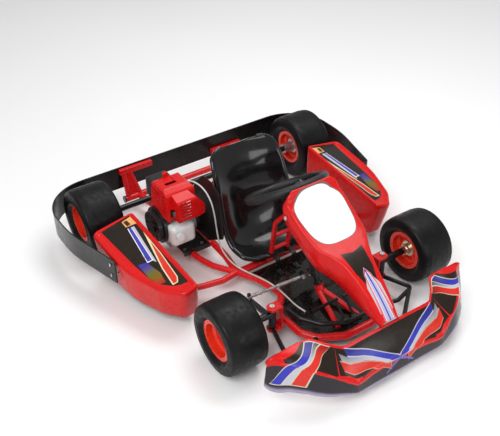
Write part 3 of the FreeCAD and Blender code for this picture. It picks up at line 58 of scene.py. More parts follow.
class Paint:
    """One node material, with short calls for the nodes that every finish here uses."""

    def __init__(self, name):
        self.material = bpy.data.materials.new(name)
        self.material.use_nodes = True
        self.nodes = self.material.node_tree.nodes
        self.links = self.material.node_tree.links
        self.shader = self.nodes["Principled BSDF"]
        self.place = self.nodes.new("ShaderNodeTexCoord").outputs["Object"]
        split = self.nodes.new("ShaderNodeSeparateXYZ")
        self.links.new(self.place, split.inputs[0])
        self.x, self.y, self.z = (self.math("MULTIPLY", split.outputs[axis], 1 / MM) for axis in range(3))

    def feed(self, socket, value):
        """Gives a socket a number, a colour or another node's output."""
        if isinstance(value, (int, float)):
            socket.default_value = value
        elif isinstance(value, tuple):
            socket.default_value = value if len(value) == 4 else (*value, 1.0)
        else:
            self.links.new(value, socket)

    def set(self, **values):
        """Values on the shader's own sockets; underscores stand for spaces."""
        for name, value in values.items():
            self.feed(self.shader.inputs[name.replace("_", " ")], value)

    def math(self, operation, first, second=0.0):
        node = self.nodes.new("ShaderNodeMath")
        node.operation = operation
        self.feed(node.inputs[0], first)
        self.feed(node.inputs[1], second)
        return node.outputs[0]

    def least(self, *values):
        result = values[0]
        for value in values[1:]:
            result = self.math("MINIMUM", result, value)
        return result

    def most(self, *values):
        result = values[0]
        for value in values[1:]:
            result = self.math("MAXIMUM", result, value)
        return result

    def times(self, value, factor):
        return self.math("MULTIPLY", value, factor)

    def ramp(self, value, low, high, bottom=0.0, top=1.0):
        """Rises smoothly from bottom to top as value goes from low to high."""
        node = self.nodes.new("ShaderNodeMapRange")
        node.interpolation_type = "SMOOTHSTEP"
        for index, given in enumerate((value, low, high, bottom, top)):
            self.feed(node.inputs[index], given)
        return node.outputs[0]

    def inside(self, *edges):
        """1 where every edge distance is positive, with an edge half a millimetre soft."""
        return self.ramp(self.least(*edges), -0.3, 0.3)

    def side(self, a, b, slope_x, slope_y, start_x, start_y):
        """Distance of the point (a, b) to the left of a line through the start."""
        length = math.hypot(slope_x, slope_y)
        across = self.times(self.math("SUBTRACT", b, start_y), slope_x / length)
        along = self.times(self.math("SUBTRACT", a, start_x), -slope_y / length)
        return self.math("ADD", across, along)

    def polygon(self, a, b, corners):
        """Distance inside a convex polygon whose corners go anticlockwise."""
        edges = []
        for (from_a, from_b), (to_a, to_b) in zip(corners, corners[1:] + corners[:1]):
            edges.append(self.side(a, b, to_a - from_a, to_b - from_b, from_a, from_b))
        return self.least(*edges)

    def noise(self, scale, detail=3.0, roughness=0.5, stretch=(1, 1, 1)):
        mapping = self.nodes.new("ShaderNodeMapping")
        mapping.inputs["Scale"].default_value = stretch
        self.links.new(self.place, mapping.inputs["Vector"])
        node = self.nodes.new("ShaderNodeTexNoise")
        self.links.new(mapping.outputs[0], node.inputs["Vector"])
        node.inputs["Scale"].default_value = scale
        node.inputs["Detail"].default_value = detail
        node.inputs["Roughness"].default_value = roughness
        return node.outputs["Fac"]

    def mix(self, share, first, second):
        node = self.nodes.new("ShaderNodeMix")
        node.data_type = "RGBA"
        self.feed(node.inputs["Factor"], share)
        self.feed(node.inputs["A"], first)
        self.feed(node.inputs["B"], second)
        return node.outputs["Result"]

    def layers(self, base, *coats):
        """Colour of the base with each (mask, colour) laid over it."""
        for mask, colour in coats:
            base = self.mix(mask, base, colour)
        return base

    def bump(self, height, distance, strength=1.0):
        """Surface relief, in metres."""
        node = self.nodes.new("ShaderNodeBump")
        node.inputs["Strength"].default_value = strength
        node.inputs["Distance"].default_value = distance
        self.feed(node.inputs["Height"], height)
        self.links.new(node.outputs[0], self.shader.inputs["Normal"])

    def attribute(self, name):
        """The parts of a named point attribute."""
        node = self.nodes.new("ShaderNodeAttribute")
        node.attribute_name = name
        split = self.nodes.new("ShaderNodeSeparateXYZ")
        self.links.new(node.outputs["Vector"], split.inputs[0])
        return split.outputs[0], split.outputs[1]

    def worn_edge(self, low=0.53, high=0.60):
        """1 on convex edges, where handling wears the finish."""
        geometry = self.nodes.new("ShaderNodeNewGeometry")
        return self.ramp(geometry.outputs["Pointiness"], low, high)


RED = (0.66, 0.008, 0.010)
BRIGHT_RED = (0.64, 0.006, 0.006)
RIM_RED = (0.80, 0.035, 0.012)
DECAL_DARK = (0.016, 0.010, 0.006)
DECAL_BLUE = (0.035, 0.040, 0.42)
DECAL_SILVER = (0.50, 0.50, 0.56)
DECAL_RED = (0.66, 0.030, 0.018)
CREAM = (0.80, 0.70, 0.42)
AMBER = (0.78, 0.42, 0.14)
WHITE = (0.90, 0.91, 0.93)
GREY_LINE = (0.16, 0.13, 0.13)


def moulded_finish(paint, base, rough=0.24, coat=0.12):
    """Gloss moulded plastic: orange peel, faint flow marks and a little grime in the gloss."""
    cloud = paint.noise(9.0, 3.0)
    fine = paint.noise(260.0, 2.0)
    paint.set(Base_Color=paint.mix(paint.ramp(cloud, 0.3, 0.8, 0.0, 0.10), base, (0.02, 0.01, 0.01)))
    paint.set(Roughness=paint.ramp(paint.noise(34.0, 4.0), 0.3, 0.75, rough, rough + 0.12))
    paint.set(Coat_Weight=coat, Coat_Roughness=0.08, Specular_IOR_Level=0.22)
    paint.bump(fine, 0.00012, 0.35)
    return paint.material


def red_plastic(name="body_red"):
    return moulded_finish(Paint(name), BRIGHT_RED)


def powder_coat(name, colour, rough=0.24, under=(0.42, 0.40, 0.38)):
    """Sprayed metal: orange peel, slight unevenness and bare metal on worn edges."""
    paint = Paint(name)
    cloud = paint.ramp(paint.noise(14.0, 4.0), 0.3, 0.8, 0.0, 0.16)
    chips = paint.ramp(paint.noise(420.0, 5.0, 0.7), 0.62, 0.68)
    wear = paint.math("MULTIPLY", paint.worn_edge(), chips)
    colour = paint.mix(cloud, colour, tuple(part * 0.45 for part in colour))
    paint.set(Base_Color=paint.mix(wear, colour, under))
    paint.set(Roughness=paint.ramp(paint.noise(60.0, 3.0), 0.3, 0.7, rough, rough + 0.14))
    paint.set(Coat_Weight=0.2, Coat_Roughness=0.12, Specular_IOR_Level=0.32)
    paint.bump(paint.noise(330.0, 2.0), 0.00018, 0.4)
    return paint.material


def bare_metal(name, colour, rough, lines=(1, 1, 1), grain=120.0):
    """Metal with turning or casting marks and dull patches."""
    paint = Paint(name)
    marks = paint.noise(grain, 6.0, 0.65, lines)
    dark = tuple(part * 0.55 for part in colour)
    paint.set(Base_Color=paint.mix(paint.ramp(paint.noise(40.0, 4.0), 0.35, 0.75, 0.0, 0.7), colour, dark))
    paint.set(Metallic=1.0)
    paint.set(Roughness=paint.ramp(marks, 0.3, 0.7, rough, rough + 0.2))
    paint.bump(marks, 0.0002, 0.3)
    return paint.material


def matte_moulding(name, colour, rough=0.55, grain=900.0):
    """Fine-grained black or grey moulding."""
    paint = Paint(name)
    cloud = paint.ramp(paint.noise(18.0, 4.0), 0.3, 0.8, 0.0, 0.5)
    pale = tuple(min(part * 2.2 + 0.002, 1.0) for part in colour)
    paint.set(Base_Color=paint.mix(cloud, colour, pale))
    paint.set(Roughness=paint.ramp(paint.noise(80.0, 3.0), 0.3, 0.7, rough - 0.1, rough + 0.1))
    paint.bump(paint.noise(grain, 3.0), 0.0002, 0.5)
    return paint.material


def tank_plastic(name):
    """Milky blow-moulded tank."""
    paint = Paint(name)
    cloud = paint.noise(22.0, 4.0)
    paint.set(Base_Color=paint.mix(paint.ramp(cloud, 0.3, 0.75), (0.74, 0.80, 0.80), (0.86, 0.89, 0.88)))
    paint.set(Roughness=paint.ramp(paint.noise(50.0), 0.3, 0.7, 0.28, 0.42))
    paint.set(Subsurface_Weight=0.25, Subsurface_Scale=0.02, Coat_Weight=0.2)
    paint.bump(cloud, 0.0015, 0.25)
    return paint.material


def tyre_rubber(name):
    """Slick rubber: dull black with uneven shine and a fine grain."""
    paint = Paint(name)
    cloud = paint.noise(26.0, 5.0, 0.6)
    colour = paint.mix(paint.ramp(cloud, 0.35, 0.75), (0.0020, 0.0020, 0.0023), (0.0055, 0.0055, 0.0060))
    paint.set(Base_Color=colour)
    paint.set(Roughness=paint.ramp(paint.noise(60.0, 5.0), 0.3, 0.7, 0.36, 0.58))
    paint.set(Specular_IOR_Level=0.22)
    paint.bump(paint.noise(700.0, 4.0), 0.0003, 0.5)
    return paint.material


def chain_metal(name):
    return bare_metal(name, (0.20, 0.18, 0.16), 0.34, grain=300.0)


def grip_rubber(name):
    """Wheel grip: fine leather-like grain with worn, shinier places."""
    paint = Paint(name)
    cells = paint.nodes.new("ShaderNodeTexVoronoi")
    cells.feature = "DISTANCE_TO_EDGE"
    cells.inputs["Scale"].default_value = 420.0
    paint.links.new(paint.place, cells.inputs["Vector"])
    wear = paint.noise(20.0, 3.0)
    shade = paint.mix(paint.ramp(wear, 0.3, 0.8), (0.0030, 0.0030, 0.0034), (0.0090, 0.0090, 0.0100))
    paint.set(Base_Color=shade)
    paint.set(Roughness=paint.ramp(wear, 0.3, 0.7, 0.30, 0.50))
    paint.bump(paint.ramp(cells.outputs["Distance"], 0.0, 0.12), 0.0003, 0.5)
    return paint.material


def finish_for_slots():
    """One material for each slot that the record names."""
    return {
        "frame_red": powder_coat("frame_red", RED),
        "black_steel": powder_coat("black_steel", (0.0045, 0.0045, 0.005), 0.30),
        "floor_black": powder_coat("floor_black", (0.006, 0.0045, 0.0035), 0.10),
        "body_red": red_plastic(),
        "band_black": moulded_finish(Paint("band_black"), (0.0045, 0.004, 0.004), 0.26, 0.35),
        "seat_black": moulded_finish(Paint("seat_black"), (0.0035, 0.0035, 0.0045), 0.16, 0.6),
        "bolt_zinc": bare_metal("bolt_zinc", (0.78, 0.77, 0.74), 0.22, grain=400.0),
        "cast_aluminium": bare_metal("cast_aluminium", (0.56, 0.57, 0.58), 0.38, grain=260.0),
        "hub_zinc": bare_metal("hub_zinc", (0.78, 0.70, 0.54), 0.24, (1, 6, 1), 180.0),
        "tank_milky": tank_plastic("tank_milky"),
        "engine_black": matte_moulding("engine_black", (0.0045, 0.0045, 0.005), 0.40),
        "chain_steel": chain_metal("chain_steel"),
        "disc_steel": bare_metal("disc_steel", (0.62, 0.61, 0.60), 0.26, (1, 8, 1), 240.0),
        "cable_grey": matte_moulding("cable_grey", (0.46, 0.45, 0.43), 0.38, 1500.0),
        "grip_rubber": grip_rubber("grip_rubber"),
        "rod_silver": bare_metal("rod_silver", (0.70, 0.69, 0.66), 0.30, (1, 1, 8), 200.0),
        "tyre_rubber": tyre_rubber("tyre_rubber"),
        "rim_red": powder_coat("rim_red", RIM_RED, 0.20),
    }


FINISH = finish_for_slots()
for node, piece in frame["nodes"].items():
    piece.data.materials.clear()
    piece.data.materials.append(FINISH[SLOT_OF_NODE[node]])


# ---- Mesh helpers -------------------------------------------------------------------------------

def smooth_share(stations, at):
    """Values between stations, joined by smooth curves; a station is (position, value, ...)."""
    positions = [station[0] for station in stations]
    at = min(max(at, positions[0]), positions[-1])
    index = max(i for i, position in enumerate(positions[:-1]) if position <= at)
    before, after = stations[index], stations[index + 1]
    span = after[0] - before[0]
    share = (at - before[0]) / span

    def slope(column, i):
        if i == 0 or i == len(stations) - 1:
            low, high = max(i - 1, 0), min(i + 1, len(stations) - 1)
            return (stations[high][column] - stations[low][column]) / (positions[high] - positions[low])
        left = (stations[i][column] - stations[i - 1][column]) / (positions[i] - positions[i - 1])
        right = (stations[i + 1][column] - stations[i][column]) / (positions[i + 1] - positions[i])
        if left * right <= 0:
            return 0.0
        return 2 * left * right / (left + right)

    values = []
    for column in range(1, len(before)):
        rise = after[column] - before[column]
        start, end = slope(column, index) * span, slope(column, index + 1) * span
        values.append(before[column] + share * (start + share * (3 * rise - 2 * start - end
                      + share * (start + end - 2 * rise))))
    return values


def steps(low, high, count):
    return [low + (high - low) * i / (count - 1) for i in range(count)]


def net(name, rows, material, skins=None, closed=False):
    """Mesh of quads through rows of points in millimetres. skins gives each point a 'skin' attribute."""
    width = len(rows[0])
    points = [kart(*point) for row in rows for point in row]
    faces = []
    for row in range(len(rows) - 1):
        for column in range(width if closed else width - 1):
            following = (column + 1) % width
            faces.append((row * width + column, row * width + following,
                          (row + 1) * width + following, (row + 1) * width + column))
    mesh = bpy.data.meshes.new(name)
    mesh.from_pydata(points, [], faces)
    if skins is not None:
        layer = mesh.attributes.new("skin", "FLOAT_VECTOR", "POINT")
        for index, skin in enumerate(skin for row in skins for skin in row):
            layer.data[index].vector = (*skin, 0.0)
    mesh.shade_smooth()
    piece = bpy.data.objects.new(name, mesh)
    bpy.context.scene.collection.objects.link(piece)
    mesh.materials.append(material)
    return piece


def apply_modifiers(piece):
    """Bakes the modifiers of a piece into its mesh."""
    graph = bpy.context.evaluated_depsgraph_get()
    mesh = bpy.data.meshes.new_from_object(piece.evaluated_get(graph))
    piece.modifiers.clear()
    piece.data = mesh
    return piece


def shell(piece, wall):
    """Gives an open surface a wall behind its visible face."""
    modifier = piece.modifiers.new("wall", "SOLIDIFY")
    modifier.thickness = wall * MM
    modifier.offset = -1.0
    return apply_modifiers(piece)


def place(piece, body, slot, *nodes):
    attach(piece, body)
    if nodes:
        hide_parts(*nodes)
    return piece


def millimetres(corner):
    return [part / MM for part in corner]


# ---- Number panel ---------------------------------------------------------------------------------

panel_low, panel_high = (millimetres(corner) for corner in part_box("number_panel"))
PANEL_REAR = panel_low[0]
PANEL_TOP = panel_high[2]
# (distance from the rear edge, drop from the top, half width, flare, depth of the flank)
PANEL_STATIONS = [(0, 1, 82, 34, 42), (6, 10, 98, 22, 44), (14, 35, 107, 14, 46), (46, 57, 111, 13, 54),
                  (89, 84, 110, 12, 54), (136, 109, 107, 12, 60), (178, 128, 99, 12, 68),
                  (213, 138, 79, 12, 76), (262, 160, 58, 12, 78), (303, 185, 49, 12, 74),
                  (348, 216, 43, 12, 60), (393, 253, 37, 9, 40), (431, 291, 31, 6, 20)]
# The blank plate: its middle from the panel's rear edge, its half length, and its rounding (2 is an ellipse)
PLATE_MIDDLE = 91.0
PLATE_HALF_LENGTH = 86.0
PLATE_ROUNDING = 3.2


def panel_material():
    """Red shield with a blank white plate, a dark field ahead of it and a spear of stripes."""
    paint = Paint("number_panel_skin")
    across, along = paint.attribute("skin")
    side = paint.math("ABSOLUTE", across)
    width = paint.math("SUBTRACT", 101.0, paint.times(paint.math("SUBTRACT", along, 41.0), 0.13))
    lengthwise = paint.times(paint.math("SUBTRACT", along, PLATE_MIDDLE), 1 / PLATE_HALF_LENGTH)
    lengthwise = paint.math("POWER", paint.math("ABSOLUTE", lengthwise), PLATE_ROUNDING)
    sideways = paint.math("POWER", paint.math("DIVIDE", side, width), PLATE_ROUNDING)
    reach = paint.math("ADD", lengthwise, sideways)
    outline = paint.ramp(reach, 1.07, 1.11, 1.0, 0.0)
    plate = paint.ramp(reach, 0.98, 1.0, 1.0, 0.0)

    field = paint.polygon(along, side, [(214, -5), (400, -5), (341, 30), (293, 36), (242, 54), (214, 62)])
    hollow = paint.math("SUBTRACT", paint.math("ADD", along, paint.times(side, 0.21)), 230.0)
    field = paint.inside(field, hollow)
    spear = paint.polygon(along, side, [(282, -5), (440, -5), (440, 21), (338, 18), (305, 13), (284, 0)])
    rim = paint.inside(spear)
    red = paint.inside(paint.math("SUBTRACT", spear, 1.2))
    pale = paint.inside(paint.math("SUBTRACT", spear, 4.6))
    lilac = paint.inside(paint.math("SUBTRACT", spear, 6.4))
    white = paint.inside(paint.math("SUBTRACT", spear, 13.5))
    centre = paint.inside(paint.math("SUBTRACT", spear, 2.0), paint.math("SUBTRACT", 2.4, side))
    barb = paint.polygon(along, side, [(318, 16), (410, 23), (410, 25.5), (340, 27)])
    colour = paint.layers(BRIGHT_RED, (outline, GREY_LINE), (plate, WHITE), (field, DECAL_DARK),
                          (paint.inside(barb), DECAL_SILVER), (rim, (0.70, 0.50, 0.52)), (red, DECAL_RED),
                          (pale, WHITE), (lilac, (0.46, 0.46, 0.66)), (white, WHITE), (centre, DECAL_BLUE))
    return moulded_finish(paint, colour)


def panel_row(at):
    """Points and finish coordinates across the panel at a distance from its rear edge."""
    drop, half, flare, depth = smooth_share(PANEL_STATIONS, at)
    x = PANEL_REAR + at
    top = PANEL_TOP - drop
    shoulder = 9.0
    turn = math.atan2(depth, flare)
    points = [(half + flare, top - depth), (half + flare * 0.55, top - depth * 0.55)]
    for step in range(5):
        lean = turn * (1 - step / 4)
        points.append((half - shoulder * math.tan(turn / 2) + shoulder * math.sin(lean),
                       top - shoulder * (1 - math.cos(lean))))
    crown = half - shoulder * math.tan(turn / 2)
    points += [(crown * share, top) for share in (0.8, 0.6, 0.4, 0.2, 0.0)]
    both = points + [(-y, z) for y, z in reversed(points[:-1])]
    return [(x, y, z) for y, z in both], [(y, at) for y, z in both]


def build_number_panel():
    rows, skins = zip(*(panel_row(at) for at in steps(0, PANEL_STATIONS[-1][0], 90)))
    piece = net("number_panel_shell", rows, panel_material(), skins)
    shell(piece, 3.0)
    place(piece, "chassis", "body_red", "number_panel")


# ---- Nose fairing -----------------------------------------------------------------------------------

NOSE_FRONT, NOSE_HALF = millimetres(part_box("nose_fairing")[1])[:2]
# (distance from the middle, rear edge's distance behind the front and height, the crest's, the lower edge's)
NOSE_STATIONS = [(0, 80, 188, 11, 97, 0.5, 33), (110, 81, 187, 9, 93, 2, 33),
                 (156, 82, 185, 4, 87, 1, 35), (180, 83, 185, 2, 86, 0.5, 38),
                 (204, 100, 188, 9, 100, 2, 47), (228, 124, 192, 19, 116, 6, 56),
                 (268, 164, 199, 35, 141, 18, 64), (310, 167, 199, 63, 159, 43, 72),
                 (340, 167, 198, 92, 167, 66, 80), (370, 167, 196, 122, 171, 95, 80),
                 (404, 167, 192, 152, 172, 128, 70), (424, 169, 184, 162, 170, 148, 78),
                 (432, 172, 176, 167, 165, 160, 90)]
# How much narrower the top of the ends is than their lower edge, as a share
NOSE_FLARE = 0.035


def nose_material():
    """Red fairing with dark fields, slanting bands on its raised ends and sweeping bands between.

    Depth runs down the profile: 0 at the rear edge, 1 at the crest and 2 at the lower edge.
    """
    paint = Paint("nose_skin")
    across, depth = paint.attribute("skin")
    side = paint.math("ABSOLUTE", across)
    down = paint.times(depth, 100.0)

    def area(*corners):
        """Mask of a convex area; corners are (distance from the middle, depth), anticlockwise."""
        return paint.inside(paint.polygon(side, down, [(a, d * 100) for a, d in corners]))

    def band(rear, crest, bottom):
        """Mask of a band over a raised end; each place gives the band's (inner, outer) (distance, depth)."""
        upper = area(rear[0], rear[1], crest[1], crest[0])
        lower = area(crest[0], crest[1], bottom[1], bottom[0])
        return paint.most(upper, lower)

    wing_top = area((208, 0.10), (292, 0.06), (372, 0.62), (369, 0.90), (317, 0.93), (240, 0.97),
                    (224, 0.55))
    wing_low = area((200, 1.20), (258, 1.08), (424, 1.06), (436, 2.1), (200, 2.1))
    middle_field = area((-5, 0.10), (208, 0.10), (236, 0.98), (-5, 0.98))
    corner = area((160, 0.90), (204, 0.85), (262, 1.0), (256, 1.08), (172, 1.20), (160, 1.205))
    # Painted shade: the blue, silver and red of the bands darken towards the rear edge (depth 0), the silver
    # almost to black
    painted_shade_fade = paint.ramp(depth, 0.05, 0.75)
    blue = paint.mix(painted_shade_fade, (0.020, 0.022, 0.20), DECAL_BLUE)
    silver = paint.mix(painted_shade_fade, (0.09, 0.08, 0.09), DECAL_SILVER)
    red = paint.mix(painted_shade_fade, (0.30, 0.010, 0.008), DECAL_RED)
    wing_pale = band([(218, 0.10), (282, 0.07)], [(307, 1.0), (368, 1.0)], [(334, 1.74), (419, 1.74)])
    wing_blue = band([(255, 0.12), (280, 0.09)], [(346, 1.0), (365, 1.0)], [(392, 1.71), (416, 1.71)])
    wing_silver = band([(242, 0.12), (253, 0.12)], [(336, 1.0), (344, 1.0)], [(372, 1.71), (388, 1.71)])
    wing_red = band([(220, 0.12), (239, 0.12)], [(310, 1.0), (333, 1.0)], [(337, 1.71), (368, 1.71)])

    def swoosh(*stations):
        """Mask between two curves given as (distance from the middle, upper depth, lower depth)."""
        bands = []
        for (near, near_top, near_low), (far, far_top, far_low) in zip(stations, stations[1:]):
            bands.append(area((near, near_top), (far + 0.3, far_top), (far + 0.3, far_low), (near, near_low)))
        return paint.most(*bands)

    pale = swoosh((-1, 0.97, 1.18), (30, 0.81, 1.06), (60, 0.64, 0.89), (99, 0.41, 0.66),
                  (131, 0.26, 0.50), (184, 0.06, 0.31))
    sweep_blue = swoosh((-1, 1.0, 1.14), (30, 0.84, 1.02), (60, 0.67, 0.85), (99, 0.44, 0.62),
                        (131, 0.29, 0.46), (184, 0.08, 0.27))
    sweep_silver = swoosh((20, 1.08, 1.14), (60, 0.88, 0.96), (99, 0.65, 0.75), (131, 0.49, 0.60),
                          (175, 0.33, 0.48), (206, 0.26, 0.47))
    red_rim = swoosh((36, 1.08, 1.56), (75, 0.87, 1.12), (110, 0.70, 0.93), (140, 0.57, 0.84),
                     (175, 0.48, 0.79), (212, 0.46, 0.76))
    sweep_red = swoosh((38, 1.11, 1.50), (75, 0.90, 1.09), (110, 0.73, 0.91), (140, 0.60, 0.82),
                       (175, 0.51, 0.77), (212, 0.49, 0.74))
    crossed = swoosh((-1, 1.04, 1.22), (30, 1.30, 1.44), (58, 1.62, 1.72))
    strip = paint.inside(paint.math("SUBTRACT", down, 95.0), paint.math("SUBTRACT", 122.0, down),
                         paint.math("SUBTRACT", 165.0, side))
    front = paint.ramp(depth, 1.04, 1.06)
    lilac = paint.ramp(depth, 1.78, 1.98, 0.0, 0.9)
    charcoal = paint.mix(lilac, (0.022, 0.018, 0.024), (0.46, 0.40, 0.58))
    low_middle = paint.math("MULTIPLY", front, paint.inside(paint.math("SUBTRACT", 206.0, side)))
    colour = paint.layers(
        BRIGHT_RED, (middle_field, DECAL_DARK), (wing_top, DECAL_DARK), (low_middle, charcoal),
        (wing_low, charcoal), (strip, BRIGHT_RED), (corner, BRIGHT_RED), (pale, (0.50, 0.50, 0.62)),
        (sweep_blue, blue), (sweep_silver, silver), (red_rim, (0.60, 0.30, 0.20)), (sweep_red, red),
        (crossed, (0.16, 0.13, 0.44)),
        (wing_pale, (0.60, 0.54, 0.42)), (wing_red, red), (wing_silver, silver), (wing_blue, blue))
    return moulded_finish(paint, colour, 0.20)


def nose_row(across):
    """Profile of the fairing at one lateral position, rear edge to lower edge."""
    rear_back, rear_z, crest_back, crest_z, low_back, low_z = smooth_share(NOSE_STATIONS, abs(across))
    rear_x, crest_x, low_x = (NOSE_FRONT - back for back in (rear_back, crest_back, low_back))
    profile = [(rear_x + 1, rear_z - 9, -0.1), (rear_x, rear_z - 3, -0.03), (rear_x + 3, rear_z, 0.0)]
    for share in steps(0.06, 0.94, 16):
        bulge = 9.0 * math.sin(math.pi * share)
        lean = math.atan2(rear_z - crest_z, crest_x - rear_x)
        x = rear_x + (crest_x - rear_x) * share + bulge * math.sin(lean) * 0.5
        z = rear_z + (crest_z - rear_z) * share + bulge * math.cos(lean) * 0.5
        profile.append((x, z, share))
    profile += [(crest_x + 1.5, crest_z + 1, 0.98), (crest_x + 2.5, crest_z - 3, 1.04)]
    for share in steps(0.12, 1.0, 9):
        swell = 3.0 * math.sin(math.pi * share)
        profile.append((crest_x + (low_x - crest_x) * share + swell * 0.3,
                        crest_z + (low_z - crest_z) * share, 1 + share))
    flare = NOSE_FLARE * (abs(across) / NOSE_HALF) ** 4
    widths = [across * (1 - flare * min(2 - depth, 1.0)) for x, z, depth in profile]
    points = [(x, y, z) for y, (x, z, depth) in zip(widths, profile)]
    return points, [(y, depth) for y, (x, z, depth) in zip(widths, profile)]


def build_nose():
    rows, skins = zip(*(nose_row(across) for across in steps(-NOSE_HALF, NOSE_HALF, 200)))
    piece = net("nose_fairing_shell", rows, nose_material(), skins)
    shell(piece, 3.0)
    place(piece, "chassis", "body_red", "nose_fairing")


# ---- Side pods ----------------------------------------------------------------------------------------

pod_low, pod_high = (millimetres(corner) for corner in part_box("left_side_pod"))
POD_TOP = [(-342, 416), (127, 405), (136, 462), (62, 522), (-100, 578), (-345, 588)]
POD_LOW = [(-328, 403), (97, 396), (104, 452), (38, 506), (-100, 560), (-330, 570)]
POD_RADII = [16, 16, 36, 120, 400, 24]
# (distance in from the outline, lift above the top's plane) across the rim and down into the recess
POD_RIM = [(1.2, -5.0), (3.6, -1.8), (7.0, -0.4), (10.5, -0.6), (13.0, -2.6), (14.5, -5.4), (16.5, -6.6)]
POD_FALL_X = 0.094
POD_FALL_Y = 0.195
POD_INNER_Y = 416
POD_MIDDLE = Vector((-110.0, 486.0))


def pod_top_z(x, y):
    """The top falls towards the nose and towards the outside; its rear inner corner is highest."""
    return pod_high[2] - POD_FALL_X * (x - pod_low[0]) - POD_FALL_Y * (y - POD_INNER_Y)


def corner_lines(corners, distance):
    """Corners of the closed anticlockwise outline moved inwards."""
    moved = []
    for index, corner in enumerate(corners):
        here = Vector(corner)
        back = (here - Vector(corners[index - 1])).normalized()
        ahead = (Vector(corners[(index + 1) % len(corners)]) - here).normalized()
        bisector = Vector((-back.y - ahead.y, back.x + ahead.x))
        moved.append(here + bisector * distance / (1 + back.dot(ahead)))
    return moved


def rounded_outline(corners, radii, distance=0.0):
    """Points round a closed anticlockwise outline with round corners, moved inwards by a distance."""
    sharp = corner_lines(corners, distance)
    count = len(sharp)
    rounds = [max(radius - distance, 3.0) for radius in radii]
    turns = []
    for index, here in enumerate(sharp):
        back = (sharp[index - 1] - here).normalized()
        ahead = (sharp[(index + 1) % count] - here).normalized()
        half_turn = (math.pi - back.angle(ahead)) / 2
        reach = rounds[index] * math.tan(half_turn)
        centre = here + (back + ahead).normalized() * (rounds[index] / math.cos(half_turn))
        turns.append((here + back * reach, here + ahead * reach, centre, half_turn * 2))
    points = []
    for index, (enter, leave, centre, turn) in enumerate(turns):
        begin = math.atan2(enter.y - centre.y, enter.x - centre.x)
        for step in range(13):
            angle = begin + turn * step / 12
            points.append(centre + Vector((math.cos(angle), math.sin(angle))) * rounds[index])
        following = turns[(index + 1) % count][0]
        points += [leave.lerp(following, step / 14) for step in range(1, 14)]
    return points


def pod_material():
    """Red pod whose recessed top carries a dark field, stripes and a patch that fades."""
    paint = Paint("pod_skin")
    x = paint.x
    y = paint.math("ABSOLUTE", paint.y)
    height = paint.math("SUBTRACT", paint.z, 150.0)

    def area(*corners):
        """Mask of a convex area; corners are (x, distance from the middle), anticlockwise."""
        return paint.inside(paint.polygon(x, y, list(corners)))

    field = paint.inside(paint.polygon(x, y, [(-330, 433), (87, 423), (82, 450), (68, 475), (32, 505),
                                              (-11, 522), (-102, 534), (-330, 554)]), height)
    cream = area((-273, 431), (-93, 431), (43, 440), (65, 451), (65, 480), (-24, 465), (-273, 445))
    salmon = area((-272, 434), (-93, 434), (41, 443), (61, 453), (61, 477), (-24, 461), (-272, 442))
    silver = area((-273, 444), (-64, 464), (-80, 472), (-275, 455))
    edge = area((-274, 454), (-80, 470), (-82, 492), (-278, 470))
    blue = area((-274, 456), (-84, 472), (-86, 489), (-278, 467))
    box = area((-327, 433), (-280, 430), (-288, 471), (-323, 471))
    square = area((-319, 452), (-291, 449), (-289, 465), (-319, 467))
    patch = area((-87, 494), (-13, 478), (36, 484), (32, 505), (-13, 521), (-96, 524))
    patch_colour = paint.mix(paint.ramp(x, -84.0, -20.0), (0.050, 0.035, 0.30), (0.16, 0.13, 0.012))
    patch_colour = paint.mix(paint.ramp(x, -20.0, 34.0), patch_colour, (0.40, 0.030, 0.008))
    colour = paint.layers(
        BRIGHT_RED, (field, DECAL_DARK), (patch, patch_colour), (cream, CREAM),
        (salmon, paint.mix(paint.ramp(x, -240.0, 20.0), (0.46, 0.10, 0.06), DECAL_RED)),
        (silver, DECAL_SILVER), (edge, WHITE), (blue, (0.060, 0.055, 0.42)), (box, AMBER),
        (square, (0.07, 0.015, 0.010)))
    return moulded_finish(paint, colour)


def build_pod(name, node, side, material):
    """Pod with a swelling side wall, a raised rim all round and a recessed top."""
    low = rounded_outline(POD_LOW, POD_RADII)
    top = rounded_outline(POD_TOP, POD_RADII)
    swollen = rounded_outline(POD_TOP, POD_RADII, -2.0)
    rows = []
    for share in steps(0.0, 1.0, 12):
        ring = []
        for under, over, out in zip(low, top, swollen):
            flat = under + (over - under) * share + (out - over) * math.sin(math.pi * share)
            edge_z = pod_top_z(over.x, over.y) - 9
            ring.append((flat.x, flat.y, pod_low[2] + (edge_z - pod_low[2]) * share))
        rows.append(ring)
    for distance, lift in POD_RIM:
        ring = rounded_outline(POD_TOP, POD_RADII, distance)
        rows.append([(p.x, p.y, pod_top_z(p.x, p.y) + lift) for p in ring])
    for share in (0.88, 0.7, 0.5, 0.3, 0.12, 0.02):
        ring = [POD_MIDDLE.lerp(p, share) for p in rounded_outline(POD_TOP, POD_RADII, POD_RIM[-1][0])]
        rows.append([(p.x, p.y, pod_top_z(p.x, p.y) + POD_RIM[-1][1]) for p in ring])
    if side < 0:
        rows = [[(x, -y, z) for x, y, z in reversed(row)] for row in rows]
    piece = net(name, rows, material, closed=True)
    shell(piece, 3.0)
    place(piece, "chassis", "body_red", node)


# ---- Seat -----------------------------------------------------------------------------------------------

# (distance along the seat from its top, x, z, half width, rise of the sides)
SEAT_STATIONS = [(0, -232, 448, 118, 10), (76, -200, 392, 138, 24), (184, -163, 292, 147, 32),
                 (287, -136, 192, 154, 40), (368, -98, 120, 155, 46), (430, -45, 89, 152, 42),
                 (488, 12, 84, 140, 32), (530, 50, 89, 112, 14)]
SEAT_CORNER = 46.0


